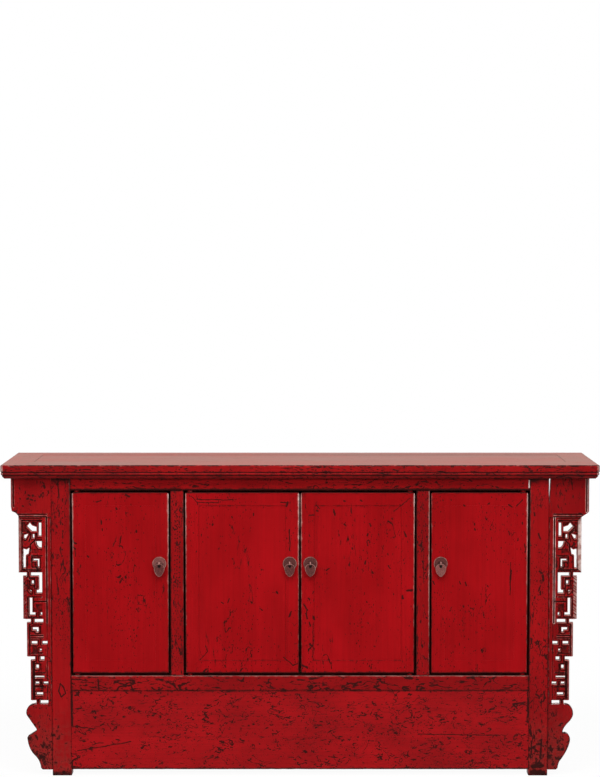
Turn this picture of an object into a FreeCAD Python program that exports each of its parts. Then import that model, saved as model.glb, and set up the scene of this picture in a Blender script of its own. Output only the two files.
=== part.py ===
import FreeCAD, Part
import os

# Four-door sideboard with pierced wings, in millimetres.
# +X runs to the right seen from the front, -Y is the front, +Z is up; the origin is on the floor under the middle.

V = FreeCAD.Vector

# Overall
TOP_LENGTH = 1760.0
TOP_DEPTH = 420.0
HEIGHT = 928.0
END_OVERHANG = 145.0
FRONT_OVERHANG = 25.0
BACK_OVERHANG = 10.0

# Top frame and its edge moulding, heights measured up from the underside
TOP_THICKNESS = 41.0
TOP_FRONT_WIDTH = 105.0
TOP_BACK_WIDTH = 80.0
TOP_END_WIDTH = 87.0
TOP_EDGE_RADIUS = 3.0
FASCIA_FOOT = 20.5
BEAD_TOP = 18.5
BEAD_FOOT = 11.5
OGEE_TOP = 9.5
UPPER_QUIRK_DEPTH = 2.5
LOWER_QUIRK_DEPTH = 4.5
BEAD_SETBACK = 1.0
OGEE_REACH = 12.0
TOP_PANEL_THICKNESS = 18.0
BRACE_WIDTH = 50.0
BRACE_HEIGHT = 18.0
BRACE_SPACING = 480.0

# Joinery shared by rails, panels and boards
TENON_THICKNESS = 14.0
TENON_LENGTH = 20.0
TENON_SHOULDER = 6.0
STUB_LENGTH = 10.0
TONGUE_LENGTH = 6.0
TONGUE_THICKNESS = 8.0
TONGUE_PLAY = 0.6
PANEL_JOINT = 0.5
PANEL_SINK = 0.6
BOARD_JOINT = 0.5
FIT_GAP = 1.0

# Posts
POST_WIDTH = 57.0
POST_DEPTH = 50.0
POST_EDGE_RADIUS = 4.0
POST_TENON_SIDE = 26.0
POST_TENON_HEIGHT = 20.0

# Rails, mullions and apron
TOP_RAIL_HEIGHT = 37.0
BOTTOM_RAIL_LEVEL = 300.0
BOTTOM_RAIL_HEIGHT = 46.0
RAIL_DEPTH = 42.0
RAIL_EDGE_RADIUS = 2.5
TOP_RAIL_SETBACK = 4.0
BOTTOM_RAIL_SETBACK = 1.0
MULLION_CENTRE = 363.5
MULLION_WIDTH = 40.0
MULLION_DEPTH = 34.0
MULLION_SETBACK = 2.0
APRON_CLEARANCE = 18.0
APRON_THICKNESS = 20.0
APRON_SETBACK = 2.0

# Sides and back
SIDE_RAIL_THICKNESS = 30.0
SIDE_RAIL_SETBACK = 4.0
SIDE_PANEL_THICKNESS = 12.0
SIDE_PANEL_SETBACK = 8.0
BACK_RAIL_THICKNESS = 30.0
BACK_RAIL_SETBACK = 4.0
BACK_PANEL_THICKNESS = 10.0

# Floor and shelf
FLOOR_THICKNESS = 16.0
FLOOR_STOP = 10.0
FLOOR_BOARD_COUNT = 3
SHELF_LEVEL = 575.0
SHELF_THICKNESS = 18.0
SHELF_BOARD_COUNT = 2
BEARER_WIDTH = 30.0
BEARER_HEIGHT = 24.0
END_BEARER_INSET = 12.0

# Doors
DOOR_THICKNESS = 22.0
DOOR_RECESS = 5.0
DOOR_SIDE_GAP = 4.0
DOOR_TOP_GAP = 5.0
DOOR_FOOT_GAP = 4.0
DOOR_MEMBER_WIDTH = 40.0
DOOR_EDGE_RADIUS = 4.0
DOOR_BACK_RADIUS = 1.0
DOOR_MITRE_DEPTH = 7.0
DOOR_PANEL_THICKNESS = 18.0
DOOR_TENON_EDGE = 10.0
PIVOT_RADIUS = 7.0
PIVOT_INSET = 14.0
PIVOT_CLEARANCE = 0.08
PIVOT_END_PLAY = 0.3
TOP_PIVOT_ENGAGED = 13.0
FOOT_PIVOT_ENGAGED = 8.0

# Pulls
PULL_HEIGHT = 633.0
PULL_INSET = 28.5
PLATE_RADIUS = 20.5
PLATE_THICKNESS = 1.2
PLATE_RIM_RADIUS = 1.1
PLATE_BOSS_RADIUS = 7.0
PLATE_BOSS_RISE = 1.2
EYE_RADIUS = 5.1
EYE_WIRE_RADIUS = 1.6
EYE_STANDOFF = 6.3
SHANK_RADIUS = 2.4
SHANK_CLEARANCE = 0.3
LEG_LENGTH = 13.0
LEG_THICKNESS = 1.6
DROP_THICKNESS = 2.6
DROP_HALF_WIDTH = 15.5
DROP_UPPER_HEIGHT = 20.0
DROP_LOWER_HEIGHT = 22.5
DROP_BRIDGE_HEIGHT = 3.0
DROP_HOLE_HALF_WIDTH = 3.0
DROP_HOLE_HEIGHT = 5.8
DROP_RIM_WIDTH = 2.0
DROP_RIM_RISE = 0.5
DROP_SEAT_GAP = 0.3

# Wings
WING_INSET = 26.0
WING_SETBACK = 4.0
WING_THICKNESS = 24.0
WING_BASE = 17.0
BLOCK_HEIGHT = 116.0
BLOCK_EDGE_RADIUS = 6.0
BLOCK_CORNER_RISE = 38.0
BLOCK_CORNER_RUN = 22.0
FRET_SINK = 3.0
FRET_BEVEL_RUN = 5.6
FRET_BEVEL_DEPTH = 9.0

# Drawing of the fret and the scrolled foot, in parts of a field as wide as the wing reaches and as high as the
# stack under the block; every pair is (out from the post, up)
WING_FIELD = (119.0, 754.0)
WING_STACK = {"foot": 196.0, "neck": 11.0}
TIER_REACHES = (64.5, 75.0, 85.5, 98.0)
TIER_HEIGHTS = (120.0, 101.0, 128.0, 165.0)
NECK_STARTS = (12.5, 23.5, 26.0, 28.5)
NECK_INNER = (37.0, 36.0, 53.0, 63.0)
NECK_OUTER = (48.0, 51.0, 63.0, 74.0)

# Pierced slots of each tier, lowest tier first: (inner, outer, foot, head) with heights up from the tier's foot
TIER_SLOTS = (
    ((40.0, 49.0, 94.5, 106.5), (24.0, 53.5, 67.0, 73.0), (39.5, 51.0, 48.0, 55.5),
     (12.5, 27.0, 48.0, 55.5), (28.0, 48.0, 15.0, 23.5)),
    ((40.0, 58.5, 78.5, 87.5), (40.0, 47.0, 72.5, 78.5), (44.0, 62.0, 36.5, 46.0),
     (14.0, 30.0, 36.5, 46.0), (31.5, 37.5, 16.0, 23.0)),
    ((28.5, 38.5, 77.0, 128.0), (28.5, 46.0, 77.0, 87.0), (53.0, 60.5, 104.0, 115.0),
     (58.0, 67.0, 11.0, 63.5), (49.0, 67.0, 11.0, 20.0), (29.0, 34.5, 11.0, 20.0)),
    ((30.0, 38.5, 108.0, 148.0), (50.5, 56.5, 102.0, 114.0), (36.5, 55.0, 34.5, 40.5),
     (36.5, 42.0, 16.0, 40.5)),
)

# Pierced shapes that are not slots, by tier, as corners with heights up from the tier's foot
TIER_SHAPES = (
    (),
    (),
    (((68.0, 86.0), (60.5, 86.0), (60.5, 77.5)),),
    (((63.5, 148.0), (57.5, 140.0), (44.0, 135.0), (44.0, 121.5), (59.0, 121.5), (73.0, 136.0)),
     ((82.0, 111.0), (68.5, 114.5), (77.0, 99.5), (82.0, 101.0)),
     ((47.0, 93.0), (29.0, 93.0), (29.0, 73.0), (37.5, 73.0), (43.5, 80.0)),
     ((84.0, 71.0), (73.0, 68.0), (65.5, 73.5), (68.5, 54.0), (76.0, 52.0), (77.0, 13.0), (84.5, 13.0))),
)

# Outline of the scrolled foot from its head down: two points for a line, three for an arc
FOOT_OUTLINE = (
    ((0.0, 0.0), (0.0, 196.0)),
    ((0.0, 196.0), (52.0, 196.0)),
    ((52.0, 196.0), (71.0, 188.0), (78.0, 172.0)),
    ((78.0, 172.0), (77.3, 165.0), (74.0, 159.0)),
    ((74.0, 159.0), (51.0, 125.5)),
    ((51.0, 125.5), (47.5, 119.5), (50.0, 114.0)),
    ((50.0, 114.0), (72.0, 99.5)),
    ((72.0, 99.5), (74.6, 96.8), (75.0, 93.0)),
    ((75.0, 93.0), (67.5, 63.0), (52.0, 41.0)),
    ((52.0, 41.0), (40.5, 25.0), (35.0, 4.0)),
    ((35.0, 4.0), (31.0, 0.0)),
    ((31.0, 0.0), (0.0, 0.0)),
)

# Places that several pieces share
TOP_HALF = TOP_LENGTH / 2
FRONT_EDGE = -TOP_DEPTH / 2
BACK_EDGE = TOP_DEPTH / 2
TOP_UNDERSIDE = HEIGHT - TOP_THICKNESS
POST_OUTER = TOP_HALF - END_OVERHANG
POST_INNER = POST_OUTER - POST_WIDTH
FRONT_FACE = FRONT_EDGE + FRONT_OVERHANG
BACK_FACE = BACK_EDGE - BACK_OVERHANG
FRONT_POST_BACK = FRONT_FACE + POST_DEPTH
BACK_POST_FRONT = BACK_FACE - POST_DEPTH
OPENING_HEAD = TOP_UNDERSIDE - TOP_RAIL_HEIGHT
BOTTOM_RAIL_FOOT = BOTTOM_RAIL_LEVEL - BOTTOM_RAIL_HEIGHT
MULLION_INNER = MULLION_CENTRE - MULLION_WIDTH / 2
MULLION_OUTER = MULLION_CENTRE + MULLION_WIDTH / 2
MULLION_FRONT = FRONT_FACE + MULLION_SETBACK
MULLION_BACK = MULLION_FRONT + MULLION_DEPTH
TOP_RAIL_FRONT = FRONT_FACE + TOP_RAIL_SETBACK
BOTTOM_RAIL_FRONT = FRONT_FACE + BOTTOM_RAIL_SETBACK
BOTTOM_RAIL_BACK = BOTTOM_RAIL_FRONT + RAIL_DEPTH
BACK_RAIL_BACK = BACK_FACE - BACK_RAIL_SETBACK
BACK_RAIL_FRONT = BACK_RAIL_BACK - BACK_RAIL_THICKNESS
SIDE_RAIL_OUTER = POST_OUTER - SIDE_RAIL_SETBACK
SIDE_PANEL_OUTER = POST_OUTER - SIDE_PANEL_SETBACK
SIDE_PANEL_INNER = SIDE_PANEL_OUTER - SIDE_PANEL_THICKNESS
FLOOR_TOP = BOTTOM_RAIL_LEVEL + FLOOR_STOP
FLOOR_UNDERSIDE = FLOOR_TOP - FLOOR_THICKNESS
DOOR_FACE = FRONT_FACE + DOOR_RECESS
DOOR_BACK = DOOR_FACE + DOOR_THICKNESS
DOOR_FOOT = BOTTOM_RAIL_LEVEL + DOOR_FOOT_GAP
DOOR_HEIGHT = OPENING_HEAD - DOOR_TOP_GAP - DOOR_FOOT
OUTER_DOOR_HINGE = -POST_INNER + DOOR_SIDE_GAP
OUTER_DOOR_WIDTH = POST_INNER - MULLION_OUTER - 2 * DOOR_SIDE_GAP
INNER_DOOR_HINGE = -MULLION_INNER + DOOR_SIDE_GAP
INNER_DOOR_WIDTH = MULLION_INNER - 1.5 * DOOR_SIDE_GAP
EYE_CENTRE = -(PLATE_THICKNESS + PLATE_BOSS_RISE + EYE_STANDOFF)
EYE_BORE_RADIUS = EYE_RADIUS - EYE_WIRE_RADIUS
BRIDGE_REACH = ((DROP_THICKNESS / 2) ** 2 + (DROP_BRIDGE_HEIGHT / 2) ** 2) ** 0.5
DROP_PIVOT_FALL = EYE_BORE_RADIUS - BRIDGE_REACH - DROP_SEAT_GAP
WING_REACH = END_OVERHANG - WING_INSET
WING_FRONT = FRONT_FACE + WING_SETBACK
WING_BACK = WING_FRONT + WING_THICKNESS
FRET_HEAD = TOP_UNDERSIDE - BLOCK_HEIGHT
PART_RUN = WING_REACH / WING_FIELD[0]
PART_RISE = (FRET_HEAD - WING_BASE) / WING_FIELD[1]
FRET_FOOT = WING_BASE + WING_STACK["foot"] * PART_RISE


def block(x0, x1, y0, y1, z0, z1):
    """Plain block between two corners."""
    return Part.makeBox(x1 - x0, y1 - y0, z1 - z0, V(x0, y0, z0))


def prism(corners, direction):
    """Flat face through the given corners, pushed along a direction."""
    return Part.Face(Part.makePolygon(corners + corners[:1])).extrude(direction)


def chain(*segments):
    """Closed face from lines (two points) and arcs (three points) in order."""
    edges = []
    for segment in segments:
        if len(segment) == 2:
            edges.append(Part.makeLine(segment[0], segment[1]))
        else:
            edges.append(Part.Arc(segment[0], segment[1], segment[2]).toShape())
    return Part.Face(Part.Wire(edges))


def rounded_along(axis, low, high, radius, front_only=False):
    """Block from low to high whose edges along one axis are rounded; front_only leaves the back pair sharp."""
    body = block(low.x, high.x, low.y, high.y, low.z, high.z)
    edges = []
    for edge in body.Edges:
        run = edge.Vertexes[1].Point - edge.Vertexes[0].Point
        along = abs(run.dot(axis)) > 0.999 * run.Length
        at_front = abs(edge.CenterOfMass.y - low.y) < 1e-6
        if along and (at_front or not front_only):
            edges.append(edge)
    return body.makeFillet(radius, edges)


def mirrored(shape):
    """The same piece on the other side of the middle plane."""
    return shape.mirror(V(0, 0, 0), V(1, 0, 0))


def fused(shapes):
    """One solid from touching shapes, with the seams between flush faces removed."""
    whole = shapes[0]
    for shape in shapes[1:]:
        whole = whole.fuse(shape)
    return whole.removeSplitter()


def cut_by(body, tools):
    """Body with every tool's space taken out of it."""
    for tool in tools:
        body = body.cut(tool)
    return body


# Rails and panels

def rail_along_x(x0, x1, y0, y1, z0, z1):
    """Cross rail with rounded front edges and a tenon at each end."""
    body = rounded_along(V(1, 0, 0), V(x0, y0, z0), V(x1, y1, z1), RAIL_EDGE_RADIUS, True)
    middle = (y0 + y1) / 2
    tenon = block(x0 - TENON_LENGTH, x1 + TENON_LENGTH, middle - TENON_THICKNESS / 2, middle + TENON_THICKNESS / 2,
                  z0 + TENON_SHOULDER, z1 - TENON_SHOULDER)
    return fused([body, tenon])


def bar_along_y(x0, x1, y0, y1, z0, z1, tenon_length, tenon_shoulder):
    """Bar from front to back with a tenon at each end."""
    middle = (x0 + x1) / 2
    tenon = block(middle - TENON_THICKNESS / 2, middle + TENON_THICKNESS / 2, y0 - tenon_length, y1 + tenon_length,
                  z0 + tenon_shoulder, z1 - tenon_shoulder)
    return fused([block(x0, x1, y0, y1, z0, z1), tenon])


def upright(x0, x1, y0, y1, z0, z1):
    """Mullion with rounded front edges and a stub tenon at each end."""
    body = rounded_along(V(0, 0, 1), V(x0, y0, z0), V(x1, y1, z1), RAIL_EDGE_RADIUS, True)
    middle = (y0 + y1) / 2
    stub = block(x0 + TENON_SHOULDER, x1 - TENON_SHOULDER, middle - TENON_THICKNESS / 2,
                 middle + TENON_THICKNESS / 2, z0 - STUB_LENGTH, z1 + STUB_LENGTH)
    return fused([body, stub])


def panel_facing_y(x0, x1, y0, y1, z0, z1, tongue, foot_tongue=True):
    """Board that faces front, with a tongue of the given length on its edges but none in the corners."""
    middle = (y0 + y1) / 2
    near = middle - TONGUE_THICKNESS / 2
    far = middle + TONGUE_THICKNESS / 2
    foot = z0 - tongue if foot_tongue else z0
    return fused([block(x0, x1, y0, y1, z0, z1), block(x0 - tongue, x1 + tongue, near, far, z0, z1),
                  block(x0, x1, near, far, foot, z1 + tongue)])


def panel_facing_x(x0, x1, y0, y1, z0, z1, tongue, foot_tongue=True):
    """Board that faces sideways, with a tongue of the given length on its edges but none in the corners."""
    middle = (x0 + x1) / 2
    near = middle - TONGUE_THICKNESS / 2
    far = middle + TONGUE_THICKNESS / 2
    foot = z0 - tongue if foot_tongue else z0
    return fused([block(x0, x1, y0, y1, z0, z1), block(near, far, y0 - tongue, y1 + tongue, z0, z1),
                  block(near, far, y0, y1, foot, z1 + tongue)])


# Top

def top_member(length, width, mitre_start, mitre_end):
    """Frame member of the top along X, moulded outer edge at y = 0, inner edge at y = width, mitred at both ends."""
    half = length / 2

    def at(inward, height):
        return V(-half, inward, height)

    round_mid = TOP_EDGE_RADIUS * (1 - 0.5 ** 0.5)
    ogee_mid = (BEAD_SETBACK + OGEE_REACH) / 2
    section = chain(
        (at(OGEE_REACH, 0), at(width, 0)),
        (at(width, 0), at(width, TOP_THICKNESS)),
        (at(width, TOP_THICKNESS), at(TOP_EDGE_RADIUS, TOP_THICKNESS)),
        (at(TOP_EDGE_RADIUS, TOP_THICKNESS), at(round_mid, TOP_THICKNESS - round_mid),
         at(0, TOP_THICKNESS - TOP_EDGE_RADIUS)),
        (at(0, TOP_THICKNESS - TOP_EDGE_RADIUS), at(0, FASCIA_FOOT)),
        (at(0, FASCIA_FOOT), at(UPPER_QUIRK_DEPTH, FASCIA_FOOT)),
        (at(UPPER_QUIRK_DEPTH, FASCIA_FOOT), at(UPPER_QUIRK_DEPTH, BEAD_TOP)),
        (at(UPPER_QUIRK_DEPTH, BEAD_TOP), at(BEAD_SETBACK, (BEAD_TOP + BEAD_FOOT) / 2),
         at(UPPER_QUIRK_DEPTH, BEAD_FOOT)),
        (at(UPPER_QUIRK_DEPTH, BEAD_FOOT), at(LOWER_QUIRK_DEPTH, BEAD_FOOT)),
        (at(LOWER_QUIRK_DEPTH, BEAD_FOOT), at(LOWER_QUIRK_DEPTH, OGEE_TOP)),
        (at(LOWER_QUIRK_DEPTH, OGEE_TOP), at(ogee_mid, OGEE_TOP / 2), at(OGEE_REACH, 0)),
    )
    outline = [V(-half, 0, 0), V(half, 0, 0), V(half - mitre_end, width, 0), V(-half + mitre_start, width, 0)]
    return section.extrude(V(length, 0, 0)).common(prism(outline, V(0, 0, TOP_THICKNESS)))


def placed_on_edge(member, turn, x, y):
    """Frame member turned about Z so that its moulded edge looks outwards, with that edge's middle at (x, y)."""
    moved = member.copy()
    moved.rotate(V(0, 0, 0), V(0, 0, 1), turn)
    moved.translate(V(x, y, TOP_UNDERSIDE))
    return moved


def top_panel(tongue):
    """Floating panel of the top, a hair below the frame's upper face."""
    x = TOP_HALF - TOP_END_WIDTH - PANEL_JOINT
    y0 = FRONT_EDGE + TOP_FRONT_WIDTH + PANEL_JOINT
    y1 = BACK_EDGE - TOP_BACK_WIDTH - PANEL_JOINT
    z1 = HEIGHT - PANEL_SINK
    z0 = z1 - TOP_PANEL_THICKNESS
    reach = tongue + PANEL_JOINT
    near = (z0 + z1) / 2 - TONGUE_THICKNESS / 2
    far = near + TONGUE_THICKNESS
    return fused([block(-x, x, y0, y1, z0, z1), block(-x - reach, x + reach, y0, y1, near, far),
                  block(-x, x, y0 - reach, y1 + reach, near, far)])


def top_braces():
    """Three cross braces under the panel, tenoned into the front and back stiles."""
    z1 = HEIGHT - PANEL_SINK - TOP_PANEL_THICKNESS
    y0 = FRONT_EDGE + TOP_FRONT_WIDTH
    y1 = BACK_EDGE - TOP_BACK_WIDTH
    braces = []
    for step in (-1, 0, 1):
        x = step * BRACE_SPACING
        braces.append(bar_along_y(x - BRACE_WIDTH / 2, x + BRACE_WIDTH / 2, y0, y1, z1 - BRACE_HEIGHT, z1,
                                  STUB_LENGTH, TENON_SHOULDER))
    return braces


# Carcase

def left_post(y0, y1):
    """Corner post from the floor to the top, with a square tenon that enters the top's frame."""
    body = rounded_along(V(0, 0, 1), V(-POST_OUTER, y0, 0), V(-POST_INNER, y1, TOP_UNDERSIDE), POST_EDGE_RADIUS)
    x = -(POST_OUTER + POST_INNER) / 2
    y = (y0 + y1) / 2
    side = POST_TENON_SIDE / 2
    tenon = block(x - side, x + side, y - side, y + side, TOP_UNDERSIDE, TOP_UNDERSIDE + POST_TENON_HEIGHT)
    return fused([body, tenon])


def pivot_centre(hinge):
    """Axis of a left-hand door's pivot pins on the floor plan."""
    return V(hinge + PIVOT_INSET, DOOR_FACE + DOOR_THICKNESS / 2, 0)


def pivot_sockets(upper):
    """Round sockets for the four doors' pins, in the top rail or in the bottom rail."""
    radius = PIVOT_RADIUS + PIVOT_CLEARANCE
    sockets = []
    for hinge in (OUTER_DOOR_HINGE, INNER_DOOR_HINGE):
        axis = pivot_centre(hinge)
        if upper:
            depth = TOP_PIVOT_ENGAGED + FOOT_PIVOT_ENGAGED + FIT_GAP
            start = V(axis.x, axis.y, OPENING_HEAD)
        else:
            depth = FOOT_PIVOT_ENGAGED + PIVOT_END_PLAY
            start = V(axis.x, axis.y, BOTTOM_RAIL_LEVEL - depth)
        socket = Part.makeCylinder(radius, depth, start)
        sockets.append(socket)
        sockets.append(mirrored(socket))
    return sockets


def heel_clearances():
    """Round notches in the floor where the doors' hinge edges turn about their pins."""
    radius = (PIVOT_INSET ** 2 + (DOOR_THICKNESS / 2) ** 2) ** 0.5 + FIT_GAP
    notches = []
    for hinge in (OUTER_DOOR_HINGE, INNER_DOOR_HINGE):
        start = pivot_centre(hinge) + V(0, 0, FLOOR_UNDERSIDE)
        notch = Part.makeCylinder(radius, FLOOR_THICKNESS, start)
        notches.append(notch)
        notches.append(mirrored(notch))
    return notches


def front_apron(tongue):
    """Wide board under the front bottom rail, tongued into the posts and the rail."""
    y0 = FRONT_FACE + APRON_SETBACK
    return panel_facing_y(-POST_INNER, POST_INNER, y0, y0 + APRON_THICKNESS, APRON_CLEARANCE, BOTTOM_RAIL_FOOT,
                          tongue, False)


def back_panels(tongue):
    """Three plain panels of the back."""
    middle = (BACK_RAIL_FRONT + BACK_RAIL_BACK) / 2
    y0 = middle - BACK_PANEL_THICKNESS / 2
    y1 = middle + BACK_PANEL_THICKNESS / 2
    left = panel_facing_y(-POST_INNER, -MULLION_OUTER, y0, y1, BOTTOM_RAIL_LEVEL, OPENING_HEAD, tongue)
    centre = panel_facing_y(-MULLION_INNER, MULLION_INNER, y0, y1, BOTTOM_RAIL_LEVEL, OPENING_HEAD, tongue)
    return [left, centre, mirrored(left)]


def left_side_rails():
    """Top and bottom rail of the left side."""
    x0 = -SIDE_RAIL_OUTER
    x1 = x0 + SIDE_RAIL_THICKNESS
    rails = []
    for z0, z1 in ((OPENING_HEAD, TOP_UNDERSIDE), (BOTTOM_RAIL_FOOT, BOTTOM_RAIL_LEVEL)):
        rails.append(bar_along_y(x0, x1, FRONT_POST_BACK, BACK_POST_FRONT, z0, z1, TENON_LENGTH, TENON_SHOULDER))
    return rails


def left_side_panels(tongue):
    """Upper and lower panel of the left side."""
    x0 = -SIDE_PANEL_OUTER
    x1 = -SIDE_PANEL_INNER
    upper = panel_facing_x(x0, x1, FRONT_POST_BACK, BACK_POST_FRONT, BOTTOM_RAIL_LEVEL, OPENING_HEAD, tongue)
    lower = panel_facing_x(x0, x1, FRONT_POST_BACK, BACK_POST_FRONT, APRON_CLEARANCE, BOTTOM_RAIL_FOOT,
                           tongue, False)
    return [upper, lower]


def board_row(x, y0, y1, z0, z1, count):
    """Boards side by side from front to back, each as long as the row."""
    width = (y1 - y0 - (count - 1) * BOARD_JOINT) / count
    boards = []
    for index in range(count):
        start = y0 + index * (width + BOARD_JOINT)
        boards.append(block(-x, x, start, start + width, z0, z1))
    return boards


def cross_bearers():
    """Bars from front to back that carry the floor and the shelf, the middle ones tenoned into rails and mullions."""
    half = BEARER_WIDTH / 2
    end_floor = POST_INNER - END_BEARER_INSET - half
    end_shelf = SIDE_PANEL_INNER - half
    bearers = []
    for x, y0, y1, z1 in ((MULLION_CENTRE, BOTTOM_RAIL_BACK, BACK_RAIL_FRONT, FLOOR_UNDERSIDE),
                          (end_floor, BOTTOM_RAIL_BACK, BACK_RAIL_FRONT, FLOOR_UNDERSIDE),
                          (MULLION_CENTRE, MULLION_BACK, BACK_RAIL_FRONT, SHELF_LEVEL),
                          (end_shelf, FRONT_POST_BACK, BACK_POST_FRONT, SHELF_LEVEL)):
        bar = bar_along_y(-x - half, -x + half, y0, y1, z1 - BEARER_HEIGHT, z1, STUB_LENGTH, TENON_SHOULDER)
        bearers.append(bar)
        bearers.append(mirrored(bar))
    return bearers


# Wings on the left side

def at_wing(out, height):
    """Point out from the post's outer face, at y = 0."""
    return V(-POST_OUTER - out, 0, height)


def at_field(parts_out, parts_up):
    """Point of the fret's or the foot's drawing, at y = 0."""
    return at_wing(parts_out * PART_RUN, WING_BASE + parts_up * PART_RISE)


def wing_tongue(z0, z1, tongue):
    """Tongue that fixes a wing piece into the post."""
    middle = (WING_FRONT + WING_BACK) / 2
    return block(-POST_OUTER, -POST_OUTER + tongue, middle - TONGUE_THICKNESS / 2, middle + TONGUE_THICKNESS / 2,
                 z0, z1)


def wing_block():
    """Plain block under the top with a rounded outer edge and a clipped lower corner."""
    outline = [at_wing(0, TOP_UNDERSIDE), at_wing(WING_REACH, TOP_UNDERSIDE),
               at_wing(WING_REACH, FRET_HEAD + BLOCK_CORNER_RISE),
               at_wing(WING_REACH - BLOCK_CORNER_RUN / 4, FRET_HEAD + BLOCK_CORNER_RISE / 3),
               at_wing(WING_REACH - BLOCK_CORNER_RUN, FRET_HEAD), at_wing(0, FRET_HEAD)]
    body = prism(outline, V(0, WING_THICKNESS, 0))
    body.translate(V(0, WING_FRONT, 0))
    outer = []
    for edge in body.Edges:
        at_front = abs(edge.CenterOfMass.y - WING_FRONT) < 1e-6
        at_outer = abs(edge.CenterOfMass.x + POST_OUTER + WING_REACH) < 1e-6
        if at_front and at_outer:
            outer.append(edge)
    return body.makeFillet(BLOCK_EDGE_RADIUS, outer)


def tier_feet():
    """Foot of each neck on the drawing, lowest first; the tier itself starts a neck's height above."""
    feet = []
    foot = WING_STACK["foot"]
    for height in TIER_HEIGHTS:
        feet.append(foot)
        foot += WING_STACK["neck"] + height
    return feet


def fret_openings():
    """Corners of every pierced shape on the drawing."""
    rings = []
    for index, foot in enumerate(tier_feet()):
        base = foot + WING_STACK["neck"]
        slots = [(inner, outer, base + low, base + high) for inner, outer, low, high in TIER_SLOTS[index]]
        slots.append((NECK_STARTS[index], NECK_INNER[index], foot, base))
        for inner, outer, low, high in slots:
            rings.append([(inner, low), (outer, low), (outer, high), (inner, high)])
        for shape in TIER_SHAPES[index]:
            rings.append([(out, base + up) for out, up in shape])
    return rings


def wing_fret():
    """Pierced fret of four stepped tiers joined by necks, with a bevel down each tier's outer edge."""
    front = WING_FRONT + FRET_SINK
    outline = [at_wing(0, FRET_HEAD), at_wing(0, FRET_FOOT)]
    bevels = []
    for index, foot in enumerate(tier_feet()):
        base = foot + WING_STACK["neck"]
        head = base + TIER_HEIGHTS[index]
        outer_foot = at_field(TIER_REACHES[index], base)
        outer_head = at_field(TIER_REACHES[index], head)
        outline += [at_field(NECK_OUTER[index], foot), at_field(NECK_OUTER[index], base), outer_foot, outer_head]
        corner = outer_foot + V(0, front, 0)
        wedge = [corner, corner + V(FRET_BEVEL_RUN, 0, 0), corner + V(0, FRET_BEVEL_DEPTH, 0)]
        bevels.append(prism(wedge, outer_head - outer_foot))
    body = prism(outline, V(0, WING_BACK - front, 0))
    body.translate(V(0, front, 0))
    holes = []
    for ring in fret_openings():
        hole = prism([at_field(out, up) for out, up in ring], V(0, WING_THICKNESS, 0))
        hole.translate(V(0, WING_FRONT, 0))
        holes.append(hole)
    return cut_by(body, holes + bevels)


def wing_foot():
    """Scrolled foot of the wing: a rounded lobe, a notch, and a pointed lobe that tapers to the floor end."""
    segments = [[at_field(out, up) for out, up in segment] for segment in FOOT_OUTLINE]
    body = chain(*segments).extrude(V(0, WING_THICKNESS, 0))
    body.translate(V(0, WING_FRONT, 0))
    return body


# Doors, built for a left-hand hinge with the hinge edge at x = 0, the face at y = 0 and the foot at z = 0

def door_member(along, across, length):
    """Frame member with a rounded outer front edge and a panel groove, outer edge on the given axes' origin."""
    back = DOOR_THICKNESS
    groove = DOOR_MEMBER_WIDTH - TONGUE_LENGTH - TONGUE_PLAY
    near = DOOR_MITRE_DEPTH
    far = near + TONGUE_THICKNESS
    front_mid = DOOR_EDGE_RADIUS * (1 - 0.5 ** 0.5)
    back_mid = DOOR_BACK_RADIUS * (1 - 0.5 ** 0.5)

    def at(inward, depth):
        return across * inward + V(0, depth, 0)

    section = chain(
        (at(DOOR_EDGE_RADIUS, 0), at(DOOR_MEMBER_WIDTH, 0)),
        (at(DOOR_MEMBER_WIDTH, 0), at(DOOR_MEMBER_WIDTH, near)),
        (at(DOOR_MEMBER_WIDTH, near), at(groove, near)),
        (at(groove, near), at(groove, far)),
        (at(groove, far), at(DOOR_MEMBER_WIDTH, far)),
        (at(DOOR_MEMBER_WIDTH, far), at(DOOR_MEMBER_WIDTH, back)),
        (at(DOOR_MEMBER_WIDTH, back), at(DOOR_BACK_RADIUS, back)),
        (at(DOOR_BACK_RADIUS, back), at(back_mid, back - back_mid), at(0, back - DOOR_BACK_RADIUS)),
        (at(0, back - DOOR_BACK_RADIUS), at(0, DOOR_EDGE_RADIUS)),
        (at(0, DOOR_EDGE_RADIUS), at(front_mid, front_mid), at(DOOR_EDGE_RADIUS, 0)),
    )
    return section.extrude(along * length)


def door_rail(width):
    """Bottom rail of a door: mitred at the front, butted with tenons behind."""
    member = door_member(V(1, 0, 0), V(0, 0, 1), width)
    size = DOOR_MEMBER_WIDTH
    outline = [V(0, 0, 0), V(width, 0, 0), V(width - size, 0, size), V(size, 0, size)]
    mitred = prism(outline, V(0, DOOR_MITRE_DEPTH, 0))
    butted = block(size, width - size, DOOR_MITRE_DEPTH, DOOR_THICKNESS, 0, size)
    tenon = block(size - TENON_LENGTH, width - size + TENON_LENGTH, DOOR_MITRE_DEPTH,
                  DOOR_MITRE_DEPTH + TONGUE_THICKNESS, DOOR_TENON_EDGE,
                  size - TONGUE_LENGTH - TONGUE_PLAY)
    return fused([member.common(mitred), member.common(butted), tenon])


def door_stile(height):
    """Hinge-side stile without pins: mitred at the front, full height behind."""
    member = door_member(V(0, 0, 1), V(1, 0, 0), height)
    size = DOOR_MEMBER_WIDTH
    outline = [V(0, 0, 0), V(size, 0, size), V(size, 0, height - size), V(0, 0, height)]
    mitred = prism(outline, V(0, DOOR_MITRE_DEPTH, 0))
    behind = block(0, size, DOOR_MITRE_DEPTH, DOOR_THICKNESS, 0, height)
    return fused([member.common(mitred), member.common(behind)])


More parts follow.
